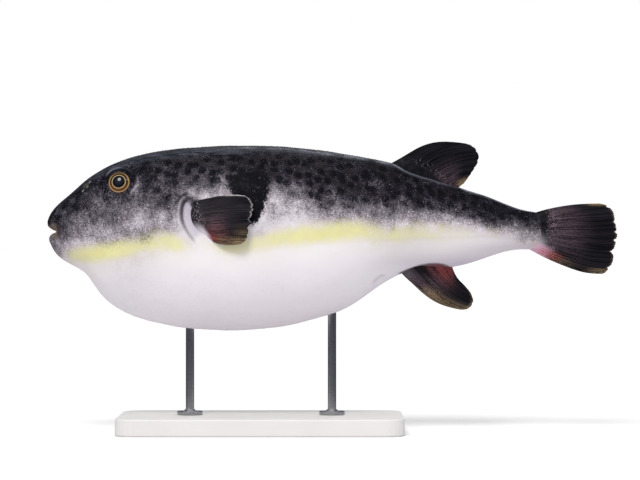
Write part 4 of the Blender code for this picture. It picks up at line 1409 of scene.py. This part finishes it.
# %% Node groups and materials
def paint_group(name, inputs, outputs, recipe):
    """A node group with named inputs and outputs. The recipe takes a brush and the inputs, and
    gives the outputs by name."""
    group = bpy.data.node_groups.new(name, "ShaderNodeTree")
    for each, (kind, value) in inputs.items():
        socket = group.interface.new_socket(each, in_out="INPUT", socket_type=f"NodeSocket{kind}")
        if value is not None:
            socket.default_value = value
    for each, kind in outputs.items():
        group.interface.new_socket(each, in_out="OUTPUT", socket_type=f"NodeSocket{kind}")
    brush = Brush(group)
    results = recipe(brush, brush.node("NodeGroupInput").outputs)
    brush.node("NodeGroupOutput", results)
    return group


def finish_of(name, sockets, recipe):
    """A material. Its constants are set on the shader's own sockets, and its recipe takes a brush
    and gives what is wired to them. A height in millimetres goes through a bump."""
    material = bpy.data.materials.new(name)
    material.use_nodes = True
    brush = Brush(material.node_tree)
    shader = material.node_tree.nodes["Principled BSDF"]
    for socket, value in sockets.items():
        shader.inputs[socket].default_value = value
    for socket, value in recipe(brush).items():
        if socket == "Height":
            bump = brush.node("ShaderNodeBump", {"Height": value, "Distance": MM, "Strength": 1.0})
            socket, value = "Normal", bump.outputs[0]
        brush.tree.links.new(value, shader.inputs[socket])
    return material


def wear(material, *pieces):
    """Gives pieces their material."""
    for piece in pieces:
        piece.data.materials.clear()
        piece.data.materials.append(material)


print("materials of the plain solids:", len(bpy.data.materials))

# %% [markdown]
# ## The puffer's paint
# A fish painter lays the pale ground first, then the dark back in thin layers, then spots and specks
# with a fine brush, and varnishes last. The recipe does the same with the marks that the skin carries:
# coarse and fine noise breaks the border of light and dark into specks, scattered dots on the flat hide
# give the round spots of the back, and each further mark is laid over. The prickles wear the same
# paint, so it is a group that both materials hold.

# %% Paint for skin and prickles
TONES = (
    (0.0, (233, 228, 231)), (0.2, (202, 194, 200)), (0.4, (152, 144, 151)), (0.6, (100, 94, 101)),
    (0.8, (48, 45, 54)), (0.92, (23, 22, 30)), (1.0, (11, 11, 18)),
)
LEMON_PAINT = ((0.35, (213, 208, 138)), (0.65, (222, 218, 156)))
# What is laid over the rest, in this order: the mark, how strong it is and its colour. The slit and the
# pits are painted shade, the anal root partly so, and the glints, the brow's line and the shoulder's
# line are painted highlights
LAYERS = (
    ("crescent", 0.9, (184, 177, 190)), ("gill_rim", 0.5, (206, 198, 204)),
    ("slit", 0.85, (64, 56, 66)), ("tan_lip", 0.7, (110, 98, 78)),
    ("lip_groove", 0.85, (62, 44, 42)), ("nostril", 0.65, (84, 82, 66)), ("pit", 0.95, (14, 13, 14)),
    ("glint", 0.7, (190, 190, 194)), ("brow_light", 0.5, (150, 152, 166)),
    ("anal_root", 0.85, (58, 46, 56)), ("ruddy", 0.6, (122, 54, 58)),
    ("shoulder_light", 0.42, (150, 154, 172)), ("rosy", 0.65, (214, 150, 172)),
    ("inner_lip", 0.8, (116, 96, 88)),
)


def round_spots(brush, flat):
    """1 in round spots on the flat hide and 0 between them. Noise shifts the places a little, so
    that the spots' borders are ragged."""
    ragged = brush.node("ShaderNodeTexNoise", {"Vector": flat, "Scale": 260.0}).outputs["Color"]
    inputs = {0: ragged, 1: (0.0022, 0.0022, 0)}
    shifts = brush.node("ShaderNodeVectorMath", inputs, operation="MULTIPLY").outputs[0]
    shifted = brush.node("ShaderNodeVectorMath", {0: flat, 1: shifts}, operation="ADD").outputs[0]
    return brush.step(brush.cells(shifted, 0.0076, 0.7, "2D"), 0.5, 0.18)


def puffer_paint(brush, given):
    """The paint's colour and its relief in millimetres. The tone is 0 where the fish is palest and 1
    where it is darkest: three sizes of noise break up its slope, and spots, the net between them and
    pale flecks are added to it. The flecks are partly the skin's own pale specks and partly painted
    glints of light on the rough skin."""
    place, flat = given["Place"], brush.mark("hide", "Vector")
    plain = brush.mark("tone")
    slow = brush.noise(place, 0.010, 3.0, 0.55)
    quick = brush.noise(brush.stretched(place, (1, 1, 0.6)), 0.0028, 2.0)
    fine = brush.noise(place, 0.0009, 1.0)
    broken = brush.add(brush.swing(slow, 0.8), brush.swing(quick, 0.34), brush.swing(fine, 0.66))
    # Pale flecks: partly the skin's own specks, partly painted glints of light on the rough skin
    fleck = brush.step(brush.cells(place, 0.0017), 0.34, 0.16)
    flecks = brush.times(fleck, brush.step(quick, 0.4, 0.62))
    spot = round_spots(brush, flat)
    dark_enough = brush.times(brush.step(plain, 0.5, 0.8), brush.mark("spotted"))
    net = brush.times(dark_enough, brush.less(spot), brush.step(slow, 0.3, 0.65))
    tone = brush.add(
        plain, brush.times(brush.step(plain, 0.0, 0.42), broken),
        brush.times(dark_enough, spot, brush.step(slow, 0.7, 0.4), 0.2), brush.times(net, -0.09),
        brush.times(flecks, brush.step(plain, 0.2, 0.5), -0.27),
    )
    colour = brush.laid(brush.ramp(tone, TONES), brush.times(net, 0.25), (62, 54, 56))
    light = brush.step(tone, 0.85, 0.3)
    # The lavender veil over the pale parts, with painted shade low on the belly and at the vent
    lavender_and_shade_veil = brush.times(brush.mark("dusky"), brush.step(tone, 0.5, 0.2), 0.5)
    colour = brush.laid(colour, lavender_and_shade_veil, (172, 160, 178))
    edge = brush.add(brush.mark("lemon"), brush.swing(slow, 0.6), brush.swing(quick, 0.4))
    lemon = brush.ramp(slow, LEMON_PAINT)
    colour = brush.mixed(brush.times(brush.step(edge, 0.08, 1.1), light), colour, lemon)
    colour = brush.laid(colour, brush.times(brush.mark("cream"), 0.2), (242, 238, 220))
    blotch = brush.add(
        brush.mark("blotch"), brush.swing(quick, 5.0), brush.swing(slow, 4.0), brush.swing(fine, 5.0)
    )
    inked = brush.between(brush.step(fine, 0.4, 0.8), (10, 10, 16), (25, 23, 31))
    # The same flecks on the blotch: pale specks and painted glints
    speckled = brush.times(flecks, brush.step(slow, 0.45, 0.6), 0.25)
    inked = brush.laid(inked, speckled, (140, 132, 142))
    colour = brush.mixed(brush.step(blotch, -1.2, 1.0), colour, inked)
    for name, strength, over in LAYERS:
        colour = brush.laid(colour, brush.times(brush.mark(name), strength), over)
    strokes = brush.noise(brush.stretched(place, (0.16, 1, 1)), 0.0024, 3.0)
    # Painted sheen: bluish-grey streaks on the crown, in the colour
    wet = brush.times(brush.mark("front_crown"), brush.step(strokes, 0.34, 0.7), 0.42)
    colour = brush.laid(colour, wet, (98, 104, 120))
    leather = brush.times(brush.step(brush.cells(place, 0.0016), 0.1, 0.75), -0.03)
    grain = brush.times(brush.noise(place, 0.0006, 2.0), 0.045)
    folds = brush.times(strokes, brush.mark("upper"), 0.35)
    return {"Color": colour, "Height": brush.add(leather, grain, folds)}


skin_paint = paint_group(
    "puffer_paint", {"Place": ("Vector", None)}, {"Color": "Color", "Height": "Float"}, puffer_paint
)
print("skin paint of", len(skin_paint.nodes), "nodes")


# %% A wet film
def wet_film(brush, given):
    """Where the varnish is thick it is smooth and shiny, and where it is thin it is dull."""
    thick = brush.noise(given["Place"], 0.011, 3.0, 0.6)
    return {
        "Roughness": brush.step(thick, 0.85, 0.15),
        "Coat": brush.times(brush.step(thick, 0.3, 0.7), given["Shine"]),
    }


film = paint_group(
    "wet_film", {"Place": ("Vector", None), "Shine": ("Float", 0.5)},
    {"Roughness": "Float", "Coat": "Float"}, wet_film,
)
print("wet film of", len(film.nodes), "nodes")


# %% Materials of the skin and the prickles
def skin_recipe(brush, tips=False):
    """The puffer's paint under a wet film, which is thickest along the back. Prickles have paler
    tips."""
    place = brush.place()
    paint = brush.node("ShaderNodeGroup", {"Place": place}, node_tree=skin_paint).outputs
    shine = brush.sum("MULTIPLY_ADD", brush.mark("crown"), 0.36, 0.01)
    varnish = brush.node("ShaderNodeGroup", {"Place": place, "Shine": shine}, node_tree=film).outputs
    colour = paint["Color"]
    if tips:
        colour = brush.laid(colour, brush.times(brush.mark("tip"), 0.4), (190, 184, 184))
    dull = brush.sum("MULTIPLY_ADD", brush.mark("crown"), -0.25, 0.52)
    roughness = brush.add(brush.times(varnish["Roughness"], 0.3), dull)
    return {
        "Base Color": colour, "Height": paint["Height"],
        "Roughness": roughness, "Coat Weight": varnish["Coat"],
    }


SKIN_GLOSS = {"IOR": 1.36, "Specular IOR Level": 0.14, "Coat Roughness": 0.14}
wear(finish_of("puffer_skin", SKIN_GLOSS, skin_recipe), skin)
prickle_finish = finish_of("puffer_prickles", SKIN_GLOSS, lambda brush: skin_recipe(brush, tips=True))
wear(prickle_finish, back_prickles, belly_prickles)
print("skin and prickles wear", skin.active_material.name, "and", prickle_finish.name)

# %% [markdown]
# ## Painted eyes
# The iris is a metallic leaf of gold and brown, laid in rings. The ring number of each point picks the
# colour, and noise that is stretched away from the pupil gives the fine fibres. The clear coat stays
# smooth over it, as the cornea does.

# %% Material of the eyes
# The pupil's navy middle is a painted reflection of soft light in the lens
IRIS = (
    (0, (27, 31, 45)), (2.4, (15, 18, 26)), (3.8, (5, 5, 6)), (4.3, (6, 6, 7)), (4.48, (176, 156, 120)),
    (4.75, (206, 188, 150)), (4.95, (104, 76, 44)), (5.3, (58, 38, 19)), (5.9, (44, 28, 14)),
    (6.3, (78, 54, 30)), (6.6, (150, 116, 76)), (6.9, (200, 168, 126)), (7.15, (170, 136, 98)),
    (7.35, (96, 72, 48)), (7.5, (30, 24, 20)), (7.8, (14, 12, 12)),
)


def eye_recipe(brush):
    """Rings of colour with lighter fibres, amber low in the iris and painted shade under the upper lid.
    The pupil's navy middle is a painted reflection.
    """
    fibres = brush.noise(brush.mark("iris", "Vector"), 0.0005, 3.0, 0.6)
    ring = brush.add(brush.mark("ring"), brush.swing(fibres, 0.02))
    colour = brush.ramp(ring, [(radius / EYEBALL_RADIUS, stop) for radius, stop in IRIS])
    iris = brush.step(ring, 0.41, 0.43)
    bright = brush.times(iris, brush.step(fibres, 0.42, 0.7), 0.4)
    colour = brush.laid(colour, bright, (190, 165, 125), "SOFT_LIGHT")
    amber = brush.times(
        brush.mark("low"), brush.step(ring, 0.49, 0.52), brush.step(ring, 0.64, 0.56), 0.6
    )
    colour = brush.laid(colour, amber, (140, 86, 30))
    # Painted shade under the upper lid
    colour = brush.laid(colour, brush.times(brush.mark("high"), iris, 0.5), (40, 28, 18))
    return {
        "Base Color": colour, "Metallic": brush.times(iris, 0.15), "Height": brush.times(fibres, 0.08),
    }


EYE_GLOSS = {
    "Roughness": 0.5, "Specular IOR Level": 0.1,
    "Coat Weight": 1.0, "Coat Roughness": 0.02, "Coat IOR": 1.4,
}
wear(finish_of("gold_ringed_eye", EYE_GLOSS, eye_recipe), *eyes)
print("iris of", len(IRIS), "colours")


# %% [markdown]
# ## Beak enamel
# The beak is ivory, with fine upright lines and a brown stain here and there.

# %% Material of the beak
def beak_recipe(brush):
    """Ivory with a brown stain in places and darker upright lines."""
    place = brush.place()
    lines = brush.noise(brush.stretched(place, (1, 1, 0.15)), 0.0004, 2.0)
    stain = brush.noise(place, 0.003, 3.0)
    colour = brush.between(brush.step(stain, 0.4, 0.75), (226, 214, 186), (178, 150, 108))
    colour = brush.laid(colour, brush.times(brush.step(lines, 0.5, 0.8), 0.3), (140, 116, 84))
    return {"Base Color": colour, "Height": brush.times(lines, 0.03)}


BEAK_GLOSS = {"Roughness": 0.3, "Coat Weight": 0.4, "Coat Roughness": 0.08}
wear(finish_of("beak_enamel", BEAK_GLOSS, beak_recipe), *beak)
print("beak painted")

# %% [markdown]
# ## Fin paint
# The fins are nearly black, streaked along their rays, mauve where the web is thin, tan at a worn corner
# and red where blood shows at a root. Streaks must run with the rays, so the pattern reads the fin's own
# two numbers, how far out and how far across, and not its place in space.

# %% Material of the fins
FIN_DARK, FIN_GREY = (11, 10, 15), (33, 30, 37)


def fin_recipe(brush):
    """Dark streaks along the rays, then the colours by their marks: those that stain the web come
    in patches, and those of the foot lie over them."""
    place = brush.place()
    out, rays = brush.mark("out"), brush.mark("rays")
    along_rays = brush.node("ShaderNodeCombineXYZ", {0: rays, 1: brush.times(out, 1.6)}).outputs[0]
    streaks = brush.noise(brush.stretched(along_rays, (2.6, 1, 1)), 1.0, 3.0, 0.6)
    blots = brush.noise(place, 0.004, 3.0)
    grain = brush.noise(place, 0.0009, 2.0)
    wave = brush.sum("COSINE", brush.times(rays, 2 * math.pi))
    colour = brush.between(brush.step(streaks, 0.38, 0.75), FIN_DARK, FIN_GREY)
    mottled = brush.add(streaks, brush.swing(grain, 0.5))

    def stained(colour, name, strength, over):
        share = brush.times(brush.mark(name), brush.step(mottled, 0.3, 0.66), strength)
        return brush.laid(colour, share, over)

    colour = stained(stained(colour, "mauve", 0.7, (104, 84, 93)), "tan", 0.9, (160, 136, 102))
    flesh = brush.between(brush.step(blots, 0.4, 0.7), FIN_DARK, (30, 28, 36))
    colour = brush.mixed(brush.times(brush.mark("flesh"), 0.85), colour, flesh)
    fair = brush.add(brush.mark("fair"), brush.times(brush.mark("fair"), brush.swing(grain, 0.7)))
    colour = brush.laid(colour, brush.sum("MULTIPLY", fair, 1.0, clamp=True), (218, 211, 220))
    colour = brush.laid(colour, brush.times(brush.mark("rosy"), 0.8), (204, 154, 176))
    colour = stained(colour, "red", 0.85, (150, 62, 58))
    dots = brush.step(brush.cells(place, 0.0011), 0.38, 0.16)
    specks = brush.times(dots, brush.step(blots, 0.35, 0.55))
    pale = brush.sum("MULTIPLY", brush.times(brush.mark("pale"), specks), 0.6, clamp=True)
    colour = brush.laid(colour, pale, (188, 178, 188))
    rim = brush.times(brush.mark("rim"), brush.step(grain, 0.3, 0.55))
    colour = brush.laid(colour, rim, (206, 198, 200))
    varnish = brush.node("ShaderNodeGroup", {"Place": place, "Shine": 0.05}, node_tree=film).outputs
    fine_rays = brush.sum("COSINE", brush.times(rays, 8 * math.pi))
    height = brush.add(
        brush.times(wave, 0.02), brush.times(fine_rays, 0.02), brush.times(streaks, 0.12),
        brush.times(grain, 0.03),
    )
    return {
        "Base Color": colour, "Height": height, "Coat Weight": varnish["Coat"],
        "Roughness": brush.sum("MULTIPLY_ADD", varnish["Roughness"], 0.4, 0.32),
    }


FIN_GLOSS = {"IOR": 1.38, "Specular IOR Level": 0.12, "Coat Roughness": 0.2}
wear(finish_of("rayed_fin", FIN_GLOSS, fin_recipe), *fin_pieces)
print("fins painted:", len(fin_pieces))

# %% [markdown]
# ## Stand
# The base is a painted slab and the rods are brushed steel, plain so that the fish stands out. The
# solids of the frame have the right shape already, so they only get a finish: paint with the faint
# texture of a roller, steel with fine turned lines, and a little dust on what faces up.

# %% Materials of the stand
def settled_dust(brush, given):
    """Dust lies where the surface faces up, in a cloudy layer."""
    facing = brush.node("ShaderNodeNewGeometry").outputs["Normal"]
    up = brush.node("ShaderNodeSeparateXYZ", {0: facing}).outputs[2]
    cloud = brush.noise(given["Place"], 0.02, 4.0, 0.65)
    lying = brush.times(brush.step(up, 0.3, 1.0), brush.step(cloud, 0.3, 0.8))
    return {"Mask": brush.times(lying, given["Amount"])}


dust = paint_group(
    "settled_dust", {"Place": ("Vector", None), "Amount": ("Float", 0.3)},
    {"Mask": "Float"}, settled_dust,
)


def dusted(brush, place, colour, amount, over):
    """The colour under an amount of dust."""
    inputs = {"Place": place, "Amount": amount}
    mask = brush.node("ShaderNodeGroup", inputs, node_tree=dust).outputs[0]
    return brush.laid(colour, mask, over)


def stand_paint_recipe(brush):
    """White paint with the texture of a roller, a little cloudy."""
    place = brush.place()
    rolled = brush.noise(place, 0.0012, 2.0)
    cloudy = brush.noise(place, 0.05, 2.0)
    colour = brush.between(cloudy, (220, 218, 214), (231, 229, 226))
    return {
        "Base Color": dusted(brush, place, colour, 0.3, (204, 200, 194)),
        "Height": brush.times(rolled, 0.04),
        "Roughness": brush.sum("MULTIPLY_ADD", cloudy, 0.2, 0.45),
    }


def stand_steel_recipe(brush):
    """Steel with fine lines round it."""
    place = brush.place()
    turned = brush.noise(brush.stretched(place, (0.05, 0.05, 1)), 0.0003, 2.0)
    colour = brush.between(turned, (168, 170, 173), (200, 201, 203))
    return {
        "Base Color": dusted(brush, place, colour, 0.25, (190, 188, 184)),
        "Roughness": brush.sum("MULTIPLY_ADD", turned, 0.25, 0.2),
        "Height": brush.times(turned, 0.01),
    }


STAND_FINISHES = {
    "stand_base": finish_of("stand_paint", {"IOR": 1.45}, stand_paint_recipe),
    "stand_rod_front": finish_of("stand_steel", {"Metallic": 1.0}, stand_steel_recipe),
}
STAND_FINISHES["stand_rod_rear"] = STAND_FINISHES["stand_rod_front"]
for node, material in STAND_FINISHES.items():
    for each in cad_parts[node].material_slots:
        each.material = material
print("stand finished:", ", ".join(STAND_FINISHES))

# %% [markdown]
# ## Studio
# A fish shines, so what matters is what it mirrors. In a studio, white walls would grey the dark back,
# so they are kept dim for mirrored light and bright for soft light. One wide lamp in front and above
# shapes the fish and puts a round highlight on the eye, and one low behind it wets the edge of the back.

# %% Floor and surroundings
SOFT_LIGHT_GREY, SEEN_WHITE = 0.75, 1.0
MIRRORED_ROOM = (0.085, 0.09, 0.11, 1)
BOUNCED_FLOOR, MIRRORED_FLOOR = (0.74, 0.73, 0.77, 1), (0.10, 0.10, 0.115, 1)
SEEN_FLOOR = ((0.90, 0.90, 0.90, 1), (0.91, 0.91, 0.91, 1))
FLOOR_HALF_SIDE = 30

floor_square = ((-1, -1), (1, -1), (1, 1), (-1, 1))
floor_corners = [(FLOOR_HALF_SIDE * x, FLOOR_HALF_SIDE * y, 0) for x, y in floor_square]
floor_mesh = bpy.data.meshes.new("studio_floor")
floor_mesh.from_pydata(floor_corners, [], [(0, 1, 2, 3)])
floor = bpy.data.objects.new("studio_floor", floor_mesh)
bpy.context.scene.collection.objects.link(floor)


def floor_recipe(brush):
    """Pale as the room is when looked at, and darker for the light that it sends to the fish."""
    ray = brush.node("ShaderNodeLightPath").outputs
    bounced = brush.mixed(ray["Is Glossy Ray"], BOUNCED_FLOOR, MIRRORED_FLOOR)
    seen = brush.mixed(brush.noise(brush.place(), 0.3), *SEEN_FLOOR)
    return {"Base Color": brush.mixed(ray["Is Camera Ray"], bounced, seen)}


wear(finish_of("pale_floor", {"Roughness": 1.0, "Specular IOR Level": 0.0}, floor_recipe), floor)

world = bpy.data.worlds.new("studio")
world.use_nodes = True
world.cycles.sampling_method = "NONE"
room = Brush(world.node_tree)
ray = room.node("ShaderNodeLightPath").outputs
dim = room.mixed(ray["Is Glossy Ray"], (*[SOFT_LIGHT_GREY] * 3, 1), MIRRORED_ROOM)
air = room.mixed(ray["Is Camera Ray"], dim, (*[SEEN_WHITE] * 3, 1))
world.node_tree.links.new(air, world.node_tree.nodes["Background"].inputs["Color"])
bpy.context.scene.world = world
bpy.context.scene.view_settings.view_transform = "Standard"
print("room of", SOFT_LIGHT_GREY, "seen as", SEEN_WHITE)

# %% Lamps and camera
from mathutils import Vector

LAMPS = {  # where each lamp is seen from the fish, its width in degrees, its strength and colour
    "front_lamp": ((-0.169, -0.645, 0.747), 21, 1.57, (1, 1, 1)),
    "side_lamp": ((0.644, -0.365, 0.669), 8, 0.16, (1, 1, 1)),
    "back_lamp": ((0.15, 0.82, 0.57), 24, 0.26, (0.84, 0.88, 1)),
}
for name, (towards, width, strength, colour) in LAMPS.items():
    lamp = bpy.data.lights.new(name, "SUN")
    lamp.energy, lamp.angle, lamp.color = strength, math.radians(width), colour
    holder = bpy.data.objects.new(name, lamp)
    holder.rotation_euler = Vector(towards).to_track_quat("Z", "Y").to_euler()
    bpy.context.scene.collection.objects.link(holder)

FISH_LENGTH = 0.4
VIEW_STEPS, FISH_STEPS = 640, 568  # the width of the view, and the length of the fish in it
LOOKS_AT = (272, -8.7)  # steps behind the snout, and above the mouth-to-tail axis
CAMERA_AWAY, SENSOR_WIDTH = 2.0, 36
step_length = FISH_LENGTH / FISH_STEPS
camera_data = bpy.data.cameras.new("camera")
camera_data.sensor_width = SENSOR_WIDTH
camera_data.lens = SENSOR_WIDTH * CAMERA_AWAY / (VIEW_STEPS * step_length)
camera = bpy.data.objects.new("camera", camera_data)
camera.location = (
    LOOKS_AT[0] * step_length + SNOUT_X * MM, -CAMERA_AWAY,
    AXIS_HEIGHT * MM + LOOKS_AT[1] * step_length,
)
camera.rotation_euler = (math.pi / 2, 0, 0)
bpy.context.scene.collection.objects.link(camera)
bpy.context.scene.camera = camera
print("lens of", round(camera_data.lens, 1), "mm")
